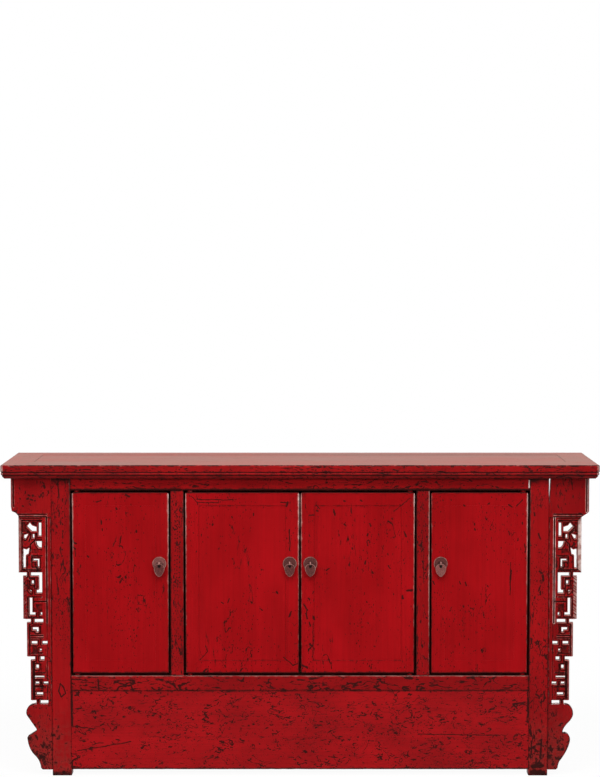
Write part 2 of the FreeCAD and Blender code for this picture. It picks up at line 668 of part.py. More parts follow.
def door_panel(width, height):
    """Flush panel of a door with a tongue on all edges."""
    inset = DOOR_MEMBER_WIDTH + PANEL_JOINT
    reach = TONGUE_LENGTH + PANEL_JOINT
    near = DOOR_MITRE_DEPTH
    far = near + TONGUE_THICKNESS
    return fused([block(inset, width - inset, PANEL_SINK, DOOR_PANEL_THICKNESS, inset, height - inset),
                  block(inset - reach, width - inset + reach, near, far, inset, height - inset),
                  block(inset, width - inset, near, far, inset - reach, height - inset + reach)])


def pull_plate():
    """Round plate with a raised rim and a low boss, back face on y = 0, turned about the Y axis."""
    hole = SHANK_RADIUS + SHANK_CLEARANCE
    front = -PLATE_THICKNESS
    rim = PLATE_RADIUS - 2 * PLATE_RIM_RADIUS

    def at(radius, depth):
        return V(radius, depth, 0)

    section = chain(
        (at(hole, 0), at(PLATE_RADIUS, 0)),
        (at(PLATE_RADIUS, 0), at(PLATE_RADIUS, front)),
        (at(PLATE_RADIUS, front), at(PLATE_RADIUS - PLATE_RIM_RADIUS, front - PLATE_RIM_RADIUS), at(rim, front)),
        (at(rim, front), at(PLATE_BOSS_RADIUS, front)),
        (at(PLATE_BOSS_RADIUS, front), at((PLATE_BOSS_RADIUS + hole) / 2, front - PLATE_BOSS_RISE * 0.8),
         at(hole, front - PLATE_BOSS_RISE)),
        (at(hole, front - PLATE_BOSS_RISE), at(hole, 0)),
    )
    return section.revolve(V(0, 0, 0), V(0, 1, 0), 360)


def pull_pin():
    """Split pin: ring eye in front, round shank through the door, two legs turned over at the back."""
    eye = Part.makeTorus(EYE_RADIUS, EYE_WIRE_RADIUS, V(0, EYE_CENTRE, 0), V(1, 0, 0))
    start = EYE_CENTRE + EYE_RADIUS
    shank = Part.makeCylinder(SHANK_RADIUS, DOOR_THICKNESS - start, V(0, start, 0), V(0, 1, 0))
    legs = block(-SHANK_RADIUS, SHANK_RADIUS, DOOR_THICKNESS, DOOR_THICKNESS + LEG_THICKNESS, -LEG_LENGTH, LEG_LENGTH)
    return eye.fuse(shank).fuse(legs)


def egg(inset):
    """Outline of the drop drawn in from its edge: two half ellipses on a common width, below the pivot axis."""
    centre = V(0, 0, DROP_BRIDGE_HEIGHT / 2 - DROP_UPPER_HEIGHT)
    side = DROP_HALF_WIDTH - inset
    edges = []
    for rise, turn in ((DROP_UPPER_HEIGHT - inset, 1), (DROP_LOWER_HEIGHT - inset, -1)):
        left = centre - V(side, 0, 0) * turn
        right = centre + V(side, 0, 0) * turn
        tip = centre + V(0, 0, rise) * turn
        if rise > side:
            curve = Part.Ellipse(tip, right, centre)
            start, stop = left, right
        else:
            curve = Part.Ellipse(right, tip, centre)
            start, stop = right, left
        edges.append(Part.ArcOfEllipse(curve, curve.parameter(start), curve.parameter(stop)).toShape())
    return Part.Face(Part.Wire(edges))


def pull_drop():
    """Egg-shaped drop that hangs by its bridge inside the ring eye; the pivot axis is the X axis."""
    front = -DROP_THICKNESS / 2
    body = egg(0).extrude(V(0, DROP_THICKNESS, 0))
    field = egg(DROP_RIM_WIDTH).extrude(V(0, DROP_RIM_RISE, 0))
    hole_head = -DROP_BRIDGE_HEIGHT / 2
    hole_foot = hole_head - DROP_HOLE_HEIGHT
    side = DROP_HOLE_HALF_WIDTH
    hole_low = hole_foot + side
    face = chain(
        (V(-side, 0, hole_low), V(0, 0, hole_foot), V(side, 0, hole_low)),
        (V(side, 0, hole_low), V(side, 0, hole_head)),
        (V(side, 0, hole_head), V(-side, 0, hole_head)),
        (V(-side, 0, hole_head), V(-side, 0, hole_low)),
    )
    hole = face.extrude(V(0, DROP_THICKNESS, 0))
    collar = block(-DROP_HALF_WIDTH, DROP_HALF_WIDTH, 0, DROP_RIM_RISE, hole_foot - DROP_RIM_WIDTH, DROP_BRIDGE_HEIGHT)
    drop = body.cut(field.cut(collar)).cut(hole)
    drop.translate(V(0, front, 0))
    return drop


def door(width):
    """All pieces of one left-hand door and its pull, in the door's own frame."""
    height = DOOR_HEIGHT
    foot_rail = door_rail(width)
    head_rail = foot_rail.mirror(V(0, 0, height / 2), V(0, 0, 1))
    plain_stile = door_stile(height)
    pin_y = DOOR_THICKNESS / 2
    head_length = DOOR_TOP_GAP + TOP_PIVOT_ENGAGED
    foot_length = DOOR_FOOT_GAP + FOOT_PIVOT_ENGAGED
    head_pin = Part.makeCylinder(PIVOT_RADIUS, head_length, V(PIVOT_INSET, pin_y, height))
    foot_pin = Part.makeCylinder(PIVOT_RADIUS, foot_length, V(PIVOT_INSET, pin_y, -foot_length))
    rails = [foot_rail, head_rail]
    hinge_stile = cut_by(fused([plain_stile, head_pin, foot_pin]), rails)
    far_stile = cut_by(plain_stile.mirror(V(width / 2, 0, 0), V(1, 0, 0)), rails)
    pull = V(width - PULL_INSET, 0, PULL_HEIGHT - DOOR_FOOT)
    shank_hole = Part.makeCylinder(SHANK_RADIUS + SHANK_CLEARANCE, DOOR_THICKNESS, pull, V(0, 1, 0))
    plate = pull_plate()
    plate.translate(pull)
    pin = pull_pin()
    pin.translate(pull)
    drop = pull_drop()
    drop.translate(pull + V(0, EYE_CENTRE, -DROP_PIVOT_FALL))
    return {
        "hinge_stile": [hinge_stile],
        "lock_stile": [far_stile.cut(shank_hole)],
        "rails": rails,
        "panel": [door_panel(width, height)],
        "pull_plate": [plate],
        "pull_pin": [pin],
        "drop": [drop],
    }


# Assembly

def build_top(nodes, posts):
    """Mitred frame, panel and braces of the top."""
    grooves = [top_panel(TONGUE_LENGTH + TONGUE_PLAY)]
    braces = top_braces()
    end = top_member(TOP_DEPTH, TOP_END_WIDTH, TOP_FRONT_WIDTH, TOP_BACK_WIDTH)
    front = top_member(TOP_LENGTH, TOP_FRONT_WIDTH, TOP_END_WIDTH, TOP_END_WIDTH)
    back = top_member(TOP_LENGTH, TOP_BACK_WIDTH, TOP_END_WIDTH, TOP_END_WIDTH)
    right_end = placed_on_edge(end, 90, TOP_HALF, 0)
    taken = grooves + braces + posts
    nodes["top_front_stile"] = [cut_by(placed_on_edge(front, 0, 0, FRONT_EDGE), taken)]
    nodes["top_back_stile"] = [cut_by(placed_on_edge(back, 180, 0, BACK_EDGE), taken)]
    nodes["top_right_end"] = [cut_by(right_end, grooves)]
    nodes["top_left_end"] = [cut_by(mirrored(right_end), grooves)]
    nodes["top_panel"] = [top_panel(TONGUE_LENGTH)]
    nodes["top_braces"] = braces


def build_carcase(nodes):
    """Posts, rails, mullions, panels, floor and shelf; each receiving piece is cut by what enters it."""
    deep = TONGUE_LENGTH + TONGUE_PLAY
    mullion = upright(-MULLION_OUTER, -MULLION_INNER, MULLION_FRONT, MULLION_BACK, BOTTOM_RAIL_LEVEL, OPENING_HEAD)
    back_mullion = upright(-MULLION_OUTER, -MULLION_INNER, BACK_RAIL_FRONT, BACK_RAIL_BACK,
                           BOTTOM_RAIL_LEVEL, OPENING_HEAD)
    mullions = [mullion, mirrored(mullion)]
    back_mullions = [back_mullion, mirrored(back_mullion)]
    bearers = cross_bearers()
    plain_floor = board_row(POST_INNER - FIT_GAP, DOOR_BACK + FIT_GAP, BACK_RAIL_FRONT - FIT_GAP,
                            FLOOR_UNDERSIDE, FLOOR_TOP, FLOOR_BOARD_COUNT)
    floor = [cut_by(board, mullions + heel_clearances()) for board in plain_floor]
    shelf = board_row(SIDE_PANEL_INNER - FIT_GAP, FRONT_POST_BACK + FIT_GAP, BACK_POST_FRONT - FIT_GAP,
                      SHELF_LEVEL, SHELF_LEVEL + SHELF_THICKNESS, SHELF_BOARD_COUNT)

    top_rail = rail_along_x(-POST_INNER, POST_INNER, TOP_RAIL_FRONT, TOP_RAIL_FRONT + RAIL_DEPTH,
                            OPENING_HEAD, TOP_UNDERSIDE)
    bottom_rail = rail_along_x(-POST_INNER, POST_INNER, BOTTOM_RAIL_FRONT, BOTTOM_RAIL_BACK,
                               BOTTOM_RAIL_FOOT, BOTTOM_RAIL_LEVEL)
    back_top_rail = rail_along_x(-POST_INNER, POST_INNER, BACK_RAIL_FRONT, BACK_RAIL_BACK,
                                 OPENING_HEAD, TOP_UNDERSIDE)
    back_bottom_rail = rail_along_x(-POST_INNER, POST_INNER, BACK_RAIL_FRONT, BACK_RAIL_BACK,
                                    BOTTOM_RAIL_FOOT, BOTTOM_RAIL_LEVEL)
    side_rails = left_side_rails()

    deep_back = back_panels(deep)
    deep_side = left_side_panels(deep)
    wing_tongues = [wing_tongue(FRET_HEAD, TOP_UNDERSIDE, deep), wing_tongue(WING_BASE, FRET_FOOT, deep)]
    front_post = cut_by(left_post(FRONT_FACE, FRONT_POST_BACK),
                        [top_rail, bottom_rail, front_apron(deep)] + side_rails + deep_side + bearers + wing_tongues)
    back_post = cut_by(left_post(BACK_POST_FRONT, BACK_FACE),
                       [back_top_rail, back_bottom_rail] + deep_back + side_rails + deep_side + bearers)

    nodes["front_left_post"] = [front_post]
    nodes["front_right_post"] = [mirrored(front_post)]
    nodes["back_left_post"] = [back_post]
    nodes["back_right_post"] = [mirrored(back_post)]
    nodes["front_top_rail"] = [cut_by(top_rail, mullions + pivot_sockets(True))]
    nodes["front_bottom_rail"] = [cut_by(bottom_rail, mullions + pivot_sockets(False) + [front_apron(deep)]
                                         + bearers + floor)]
    nodes["front_left_mullion"] = [cut_by(mullions[0], bearers)]
    nodes["front_right_mullion"] = [cut_by(mullions[1], bearers)]
    nodes["front_apron"] = [front_apron(TONGUE_LENGTH)]
    nodes["back_top_rail"] = [cut_by(back_top_rail, back_mullions + deep_back)]
    nodes["back_bottom_rail"] = [cut_by(back_bottom_rail, back_mullions + deep_back + bearers)]
    nodes["back_mullions"] = [cut_by(piece, deep_back + bearers) for piece in back_mullions]
    nodes["back_panels"] = back_panels(TONGUE_LENGTH)
    nodes["left_side_rails"] = [cut_by(rail, deep_side) for rail in side_rails]
    nodes["right_side_rails"] = [mirrored(rail) for rail in nodes["left_side_rails"]]
    nodes["left_side_panels"] = left_side_panels(TONGUE_LENGTH)
    nodes["right_side_panels"] = [mirrored(panel) for panel in nodes["left_side_panels"]]
    nodes["floor_boards"] = floor
    nodes["shelf_boards"] = shelf
    nodes["cross_bearers"] = bearers


def build_wings(nodes):
    """Block, fret and foot of both wings."""
    pieces = {
        "wing_block": fused([wing_block(), wing_tongue(FRET_HEAD, TOP_UNDERSIDE, TONGUE_LENGTH)]),
        "wing_fret": wing_fret(),
        "wing_foot": fused([wing_foot(), wing_tongue(WING_BASE, FRET_FOOT, TONGUE_LENGTH)]),
    }
    for name, piece in pieces.items():
        nodes["left_" + name] = [piece]
        nodes["right_" + name] = [mirrored(piece)]


def build_doors(nodes):
    """Four doors: two outer and two inner, the right-hand pair mirrored."""
    for name, hinge, width in (("outer", OUTER_DOOR_HINGE, OUTER_DOOR_WIDTH),
                               ("inner", INNER_DOOR_HINGE, INNER_DOOR_WIDTH)):
        for piece, shapes in door(width).items():
            placed = [shape.translated(V(hinge, DOOR_FACE, DOOR_FOOT)) for shape in shapes]
            nodes["left_" + name + "_" + piece] = placed
            nodes["right_" + name + "_" + piece] = [mirrored(shape) for shape in placed]


def main():
    """Build every piece and write one file per node."""
    nodes = {}
    build_carcase(nodes)
    post_names = ("front_left_post", "front_right_post", "back_left_post", "back_right_post")
    build_top(nodes, [nodes[name][0] for name in post_names])
    build_wings(nodes)
    build_doors(nodes)
    os.makedirs("parts", exist_ok=True)
    for name, shapes in nodes.items():
        solids = [solid for shape in shapes for solid in shape.Solids]
        whole = solids[0] if len(solids) == 1 else Part.makeCompound(solids)
        whole.exportStep("parts/" + name + ".step")


main()
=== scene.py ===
"""Looks of a four-door lacquered sideboard with pierced wings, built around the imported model.

Sizes are in millimetres and meshes in metres. +Z is up, the front faces -Y, the origin is under the middle.
"""
import logging
import math
from dataclasses import dataclass, replace
from enum import Enum
from typing import Callable, Sequence, Union

import bpy
import numpy as np
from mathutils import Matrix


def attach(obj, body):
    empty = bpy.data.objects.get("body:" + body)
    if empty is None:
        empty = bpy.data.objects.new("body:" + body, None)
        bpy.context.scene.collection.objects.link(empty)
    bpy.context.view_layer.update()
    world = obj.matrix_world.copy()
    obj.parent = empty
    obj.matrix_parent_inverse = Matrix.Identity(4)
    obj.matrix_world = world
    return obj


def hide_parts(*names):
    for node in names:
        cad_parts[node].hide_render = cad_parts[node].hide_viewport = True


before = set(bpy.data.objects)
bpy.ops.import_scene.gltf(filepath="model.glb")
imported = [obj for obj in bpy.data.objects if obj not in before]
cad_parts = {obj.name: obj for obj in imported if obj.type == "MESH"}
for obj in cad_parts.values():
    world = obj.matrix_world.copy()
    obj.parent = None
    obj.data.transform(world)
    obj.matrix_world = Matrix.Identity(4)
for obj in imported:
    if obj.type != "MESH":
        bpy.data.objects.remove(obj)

Array = np.ndarray
Socket = bpy.types.NodeSocket
Material = bpy.types.Material
Feed = Union[Socket, float, Sequence[float]]
Pair = tuple[float, float]
Triple = tuple[float, float, float]
Tint = tuple[float, float, float, float]

LOG = logging.getLogger("sideboard")
MM = 0.001
TINY = 1e-6
FULL_TURN = 2 * math.pi
SMOOTH_ANGLE = math.radians(38)
X_AXIS, Y_AXIS, Z_AXIS = np.eye(3)

# Columns of the wear of a surface, with painted highlight in the first and painted shade in the last, and how
# far each reaches from a long edge.
RUB_AND_SHEEN, CHIP, GRIME_AND_SHADE = range(3)
WEAR_NAMES = ("rub", "chip", "grime_and_shade")
WEAR_REACH = (3.5, 3.5, 5)
RIM_REACH = (1.6, 2.2, 2.2)
# Painted shade inside gaps and in carved recesses.
GAP_SHADE = 1.4
RECESS_SHADE = 0.6
BACK_RIM_WEAR = 0.35
BACK_GRIME = 0.25

# Spacing of points, and the slow waves and random bites of hand-planed wood along its run.
NEAR_MARKS = (1.5, 4, 9, 18)
ARC_STEPS = 4
WAVE_LENGTHS = (61, 47, 23)
KNOT_SPACING = 7
BITE_FROM = 0.55
HEM_HALF_WIDTH = 1.4
HEM_DEPTH = 2.4


class Grain(Enum):
    """Axis that the wood of a piece runs along."""

    ALONG_X = 0
    ALONG_Y = 1
    ALONG_Z = 2


class Side(Enum):
    """Half of the sideboard, seen from the front."""

    LEFT = "left"
    RIGHT = "right"


class Slot(Enum):
    """Material slot of the record that a piece takes its finish from."""

    LACQUER = "red_lacquer"
    TIMBER = "plain_wood"
    METAL = "pull_metal"


class Craft(Enum):
    """How a piece is worked, which is the first word of its name."""

    LACQUERED = "lacquered"
    PLANED = "planed"
    CARVED = "carved"
    METAL = "metal"


class Leaf(Enum):
    """Place of a door in its half of the front."""

    OUTER = "outer"
    INNER = "inner"


# Axes of the run, width and depth of a squared timber.
TIMBER_AXES = {Grain.ALONG_X: (0, 2, 1), Grain.ALONG_Y: (1, 2, 0), Grain.ALONG_Z: (2, 0, 1)}


# Meshes

@dataclass
class Patch:
    """One closed surface in millimetres: points, four-sided faces, flat caps, and the wear at every point.

    The columns of wear are rub, how far it is rubbed pale, with painted highlight on edges; chip, how far it
    is chipped down to dark wood; and grime_and_shade, how dirty it is, together with painted shade in gaps,
    recesses and under overhangs.
    """

    points: Array
    quads: Array
    caps: list[Array]
    wear: Array

    def facing_out(self) -> "Patch":
        """Turn all faces round where the volume inside, the sum of p0.(p1 x p2), is negative.

        Returns:
            The surface itself.
        """
        middle = self.points - self.points.mean(axis=0)
        fans = [self.quads[:, [0, 1, 2]], self.quads[:, [0, 2, 3]]]
        for cap in self.caps:
            fans.append(np.stack([np.full(len(cap) - 2, cap[0]), cap[1:-1], cap[2:]], axis=1))
        first, second, third = np.concatenate(fans).T
        volume = np.einsum("ij,ij->", middle[first], np.cross(middle[second], middle[third]))
        if volume < 0:
            self.quads = self.quads[:, ::-1]
            self.caps = [cap[::-1] for cap in self.caps]
        return self

    def mirrored(self) -> "Patch":
        """The same surface on the other side of the middle plane."""
        return Patch(self.points * (-1, 1, 1), self.quads, self.caps, self.wear).facing_out()

    def on(self, side: Side) -> "Patch":
        """This left-hand surface, or its mirror image for the right."""
        return self if side is Side.LEFT else self.mirrored()


def make_piece(craft: Craft, node: str, patches: Sequence[Patch], material: Material,
               body: str = "carcase") -> None:
    """Put closed surfaces into one mesh object that rides on a body and stands for a CAD node.

    Args:
        craft: How it is worked.
        node: CAD node that it replaces.
        patches: Closed surfaces of the piece.
        material: Finish of the piece.
        body: CAD body that it moves with.
    """
    name = craft.value + "_" + node
    starts = np.cumsum([0] + [len(patch.points) for patch in patches])
    quads = np.concatenate([patch.quads + start for patch, start in zip(patches, starts)])
    caps = [cap + start for patch, start in zip(patches, starts) for cap in patch.caps]
    corners = np.concatenate([quads.ravel()] + caps)
    sizes = np.concatenate([np.full(len(quads), 4), [len(cap) for cap in caps]]).astype(np.int32)
    mesh = bpy.data.meshes.new(name)
    mesh.vertices.add(int(starts[-1]))
    mesh.vertices.foreach_set("co", (np.concatenate([patch.points for patch in patches]) * MM).ravel())
    mesh.loops.add(len(corners))
    mesh.loops.foreach_set("vertex_index", corners.astype(np.int32))
    mesh.polygons.add(len(sizes))
    mesh.polygons.foreach_set("loop_start", (np.cumsum(sizes) - sizes).astype(np.int32))
    mesh.update(calc_edges=True)
    for key, values in zip(WEAR_NAMES, np.concatenate([patch.wear for patch in patches]).T):
        column = np.ascontiguousarray(values, dtype=np.float32)
        mesh.attributes.new(key, "FLOAT", "POINT").data.foreach_set("value", column)
    mesh.polygons.foreach_set("use_smooth", np.ones(len(sizes), dtype=bool))
    mesh.set_sharp_from_angle(angle=SMOOTH_ANGLE)
    mesh.validate()
    mesh.materials.append(material)
    piece = bpy.data.objects.new(name, mesh)
    bpy.context.scene.collection.objects.link(piece)
    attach(piece, body)
    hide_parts(node)
    LOG.info("%s: %d faces on %s", name, len(sizes), body)


def unit(vectors: Array) -> Array:
    """Vectors divided by their lengths."""
    return vectors / np.linalg.norm(vectors, axis=-1, keepdims=True)


def at_least(wear: Array, column: int, values: Array) -> None:
    """Raise one column of wear to some values where it is lower."""
    wear[..., column] = np.maximum(wear[..., column], values)


def corner_wear(points: Array, corners: Array, weights: Sequence[Triple], reach: Triple) -> Array:
    """Largest wear felt at each point, every corner's wear falling off as exp(-distance / reach)."""
    gap = np.linalg.norm(points[:, None, :] - corners[None, :, :], axis=2)
    return (np.asarray(weights) * np.exp(-gap[..., None] / np.asarray(reach))).max(axis=1)


def rows_patch(points: Array, wear: Array, ring: bool = False) -> Patch:
    """Closed surface over rows of points, each row closed on itself.

    Args:
        points: Rows of points.
        wear: Wear of the points, or what spreads to it.
        ring: Whether the last row joins the first; otherwise both end rows get a flat cap.

    Returns:
        The surface, faces outwards.
    """
    index = np.arange(points.shape[0] * points.shape[1]).reshape(points.shape[:2])
    caps = [] if ring else [index[0, ::-1], index[-1]]
    rows = np.concatenate([index, index[:1]]) if ring else index
    low, high = rows[:-1], rows[1:]
    quads = np.stack([low, np.roll(low, -1, axis=1), np.roll(high, -1, axis=1), high], axis=-1).reshape(-1, 4)
    spread = np.array(np.broadcast_to(wear, points.shape))
    return Patch(points.reshape(-1, 3), quads, caps, spread.reshape(-1, 3)).facing_out()


# Sections carried along a straight path

@dataclass(frozen=True)
class Edge:
    """Look of one long edge: its rounding, how far it is rubbed pale with painted highlight, how chipped, and
    how grimy and darkened by painted shade it is.
    """

    radius: float = 0.4
    rub: float = 0.0
    chip: float = 0.0
    grime_and_shade: float = 0.0


@dataclass
class Section:
    """Closed outline of (across, deep) points, the wear of each, and the way in from its nearest corner."""

    outline: Array
    wear: Array
    inward: Array

    def with_dark_side(self, place: float, radius: float) -> "Section":
        """The section with the side at one across value painted dark as shade from part-way round its
        rounding, as inside a gap.

        Args:
            place: Across value of the side.
            radius: Rounding of its front edge.

        Returns:
            The darkened section.
        """
        inside = (np.abs(self.outline[:, 0] - place) < 1.5) & (self.outline[:, 1] > radius * 0.2)
        wear = self.wear.copy()
        # Painted shade on the side that faces the gap.
        wear[inside, GRIME_AND_SHADE] = GAP_SHADE
        return Section(self.outline, wear, self.inward)


@dataclass(frozen=True)
class Axes:
    """Place of a carried section: where it starts, and the directions of its run, width and depth."""

    origin: Triple
    along: Array
    across: Array
    deep: Array


def run_marks(length: float, step: float) -> Array:
    """Distances along a run: fixed marks close to both ends, and between those no further apart than step.

    Args:
        length: Length of the run.
        step: Greatest spacing.

    Returns:
        The distances in order.
    """
    close = np.array([mark for mark in NEAR_MARKS if mark < 0.4 * length])
    low = close.max() if close.size else 0
    count = max(1, math.ceil((length - 2 * low) / step))
    middle = np.linspace(low, length - low, count + 1)
    return np.unique(np.round(np.concatenate([[0, length], close, middle, length - close]), 5))


def arc_between(before: Array, here: Array, after: Array, radius: float) -> Array:
    """Rounded corner: the arc that touches both legs, a turn of the radius from one foot to the other.

    Args:
        before: Corner before it.
        here: Corner that is rounded.
        after: Corner after it.
        radius: Radius of the arc.

    Returns:
        Points from the one leg to the other.
    """
    first = unit(before - here)
    second = unit(after - here)
    half = math.acos(float(np.clip(first @ second, -1, 1))) / 2
    centre = here + unit(first + second) * radius / math.sin(half)
    start = here + first * radius / math.tan(half) - centre
    stop = here + second * radius / math.tan(half) - centre
    turn = math.pi - 2 * half
    share = np.linspace(0, 1, ARC_STEPS + 1)[:, None]
    return centre + (np.sin((1 - share) * turn) * start + np.sin(share * turn) * stop) / math.sin(turn)


def section_from(corners: Sequence[Pair], edges: Sequence[Edge], step: float) -> Section:
    """Outline through corners, each rounded by its edge's radius, with marks along the straight runs between.

    Args:
        corners: Corner points in order round the section.
        edges: Look of the long edge at each corner.
        step: Greatest spacing of the marks on the runs.

    Returns:
        The section with the wear of its points.
    """
    spots = np.array(corners, dtype=float)
    before = np.roll(spots, 1, axis=0)
    after = np.roll(spots, -1, axis=0)
    arcs = [arc_between(b, h, a, edge.radius) for b, h, a, edge in zip(before, spots, after, edges)]
    pieces = []
    for arc, following in zip(arcs, arcs[1:] + arcs[:1]):
        leg = following[0] - arc[-1]
        length = float(np.linalg.norm(leg))
        marks = run_marks(length, step)[1:-1, None] / length
        pieces += [arc, arc[-1] + marks * leg]
    outline = np.concatenate(pieces)
    bisectors = unit(unit(before - spots) + unit(after - spots))
    nearest = np.linalg.norm(outline[:, None, :] - spots[None, :, :], axis=2).argmin(axis=1)
    weights = [(edge.rub, edge.chip, edge.grime_and_shade) for edge in edges]
    return Section(outline, corner_wear(outline, spots, weights, WEAR_REACH), bisectors[nearest])


def rectangle(width: float, depth: float) -> tuple[Pair, ...]:
    """Corners of a squared section, from the front low one round."""
    return (0, 0), (width, 0), (width, depth), (0, depth)


@dataclass(frozen=True)
class Handwork:
    """Unevenness of hand-planed wood: slow waves of the front face, small bites out of the edges, grimy ends
    that also carry painted shade.

    rub_and_sheen_fade, chip_fade and grime_and_shade_fade scale the section's wear, painted highlight and
    painted shade at even marks from the start of the run to its end. corner is the radius of the outer
    corners of a mitred frame.
    """

    wave: float = 0.0
    bite: float = 0.0
    end_grime_and_shade: float = 0.0
    seed: int = 1
    end_reach: float = WEAR_REACH[GRIME_AND_SHADE]
    rub_and_sheen_fade: tuple[float, ...] = (1.0,)
    chip_fade: tuple[float, ...] = (1.0,)
    grime_and_shade_fade: tuple[float, ...] = (1.0,)
    corner: float = 0.0


def eased_corners(run: Array, across: Array, length: float, radius: float) -> tuple[Array, Array]:
    """Outer corners of a mitred frame: points past the arc of a radius are drawn in to it.

    Args:
        run: Distances along the member.
        across: Distances in from its outer edge.
        length: Length of the member.
        radius: Radius of the corners.

    Returns:
        New distances along and across.
    """
    for at_end in (False, True):
        inset = length - run if at_end else run
        short_run = np.clip(radius - inset, 0, None)
        short_across = np.clip(radius - across, 0, None)
        shrink = np.minimum(1, radius / np.maximum(np.hypot(short_run, short_across), TINY))
        inset = inset + short_run * (1 - shrink)
        across = across + short_across * (1 - shrink)
        run = length - inset if at_end else inset
    return run, across


def carried(section: Section, axes: Axes, length: float, mitres: Pair = (0.0, 0.0), width: float = 1.0,
            hand: Handwork = Handwork(), step: float = 12.0) -> Patch:
    """Carry a closed section along a straight path and close both ends.

    A point is origin + along.s + across.u + deep.v, and s runs from mitre.u/width to length - mitre.u/width.
    The front moves in by wave.(1 - v/depth).(0.5 + two sines of s), and edges by bite.chip.(knots over s).

    Args:
        section: Outline with its wear.
        axes: Place and directions.
        length: Run at u = 0.
        mitres: How much the start and the end are cut back at u = width.
        width: Width over which the mitres are measured.
        hand: Unevenness.
        step: Greatest spacing of the rings.

    Returns:
        The closed surface, faces outwards.
    """
    rng = np.random.default_rng(hand.seed)
    marks = run_marks(length, step)
    share = section.outline[:, 0] / width
    start = mitres[0] * share
    stop = length - mitres[1] * share
    run = start + (marks / length)[:, None] * (stop - start)
    across = np.broadcast_to(section.outline[:, 0], run.shape)
    deep = np.broadcast_to(section.outline[:, 1], run.shape)
    # Darker ends where the piece meets its neighbours: grimy, and painted shade.
    ends = hand.end_grime_and_shade * np.exp(-np.minimum(run - start, stop - run) / hand.end_reach)
    if hand.corner:
        run, across = eased_corners(run, across, length, hand.corner)
    phases = rng.random(2) * FULL_TURN
    slow = 0.3 * np.sin(run / WAVE_LENGTHS[0] + phases[0] + across / WAVE_LENGTHS[1])
    slow = 0.5 + slow + 0.2 * np.sin(run / WAVE_LENGTHS[2] + phases[1])
    front = 1 - deep / max(float(section.outline[:, 1].max()), TINY)
    knots = np.arange(0, length + 2 * KNOT_SPACING, KNOT_SPACING)
    rough = np.interp(run, knots, rng.random(knots.size))
    bite = hand.bite * section.wear[:, CHIP] * np.clip((rough - BITE_FROM) / (1 - BITE_FROM), 0, 1)
    across = across + bite * section.inward[:, 0]
    deep = deep + bite * section.inward[:, 1] + hand.wave * slow * front
    points = (np.array(axes.origin) + run[..., None] * axes.along + across[..., None] * axes.across
              + deep[..., None] * axes.deep)
    fades = [np.interp(marks, np.linspace(0, length, len(fade)), fade)
             for fade in (hand.rub_and_sheen_fade, hand.chip_fade, hand.grime_and_shade_fade)]
    wear = section.wear * np.stack(fades, axis=1)[:, None, :]
    at_least(wear, GRIME_AND_SHADE, ends)
    return rows_patch(points, wear)


@dataclass(frozen=True)
class Timber:
    """Squared length of wood between two corners; its four long edges go round from the front low one."""

    low: Triple
    high: Triple
    grain: Grain
    edges: tuple[Edge, Edge, Edge, Edge]
    hand: Handwork = Handwork(wave=0.4, bite=0.8)
    section_step: float = 40.0
    # A dark side is painted dark as shade, as inside a gap.
    dark_sides: tuple[bool, bool] = (False, False)

    def patch(self) -> Patch:
        """Rounded rectangle carried along the grain; depth runs in from the low face.

        Returns:
            The closed surface.
        """
        low = np.array(self.low)
        size = np.array(self.high) - low
        run, wide, deep = TIMBER_AXES[self.grain]
        section = section_from(rectangle(size[wide], size[deep]), self.edges, self.section_step)
        for dark, edge, place in zip(self.dark_sides, self.edges, (0, size[wide])):
            section = section.with_dark_side(place, edge.radius) if dark else section
        axes = Axes(tuple(low), *np.eye(3)[[run, wide, deep]])
        return carried(section, axes, float(size[run]), hand=self.hand)


# Turned and ring-shaped surfaces

def turned(profile: Array, centre: Triple, axis: Array, steps: int, rub: float) -> Patch:
    """Turn (radius, height) pairs about an axis: centre + axis.h + r.(side.cos t + other.sin t).

    Args:
        profile: The pairs.
        centre: Point that heights are measured from.
        axis: Direction of the axis.
        steps: Points round it.
        rub: Rub all over.

    Returns:
        The closed surface.
    """
    side = unit(np.cross(axis, X_AXIS if abs(axis[0]) < 0.5 else Z_AXIS))
    other = np.cross(axis, side)
    turn = np.linspace(0, FULL_TURN, steps, endpoint=False)
    spoke = np.cos(turn)[:, None] * side + np.sin(turn)[:, None] * other
    points = np.array(centre) + profile[:, 1, None, None] * axis + profile[:, 0, None, None] * spoke
    return rows_patch(points, np.array((rub, 0, 0)))


def looped(points: Array, rub: Array, grime_and_shade: Array) -> Patch:
    """Surface on a grid of points that closes on itself both ways, like a ring."""
    chip = np.zeros(points.shape[:2])
    return rows_patch(points, np.stack(np.broadcast_arrays(rub, chip, grime_and_shade), axis=-1), ring=True)


# Carved boards

def line_distance(points: Array, line: Array) -> Array:
    """Distance from each point to an open line: the nearest foot on any of its legs.

    Args:
        points: Points to measure from.
        line: Points of the line.

    Returns:
        The distances.
    """
    start, stop = line[:-1], line[1:]
    leg = stop - start
    away = points[:, None, :] - start[None, :, :]
    share = np.clip((away * leg).sum(axis=2) / np.maximum((leg ** 2).sum(axis=1), 1e-9), 0, 1)
    return np.linalg.norm(away - share[..., None] * leg, axis=2).min(axis=1)


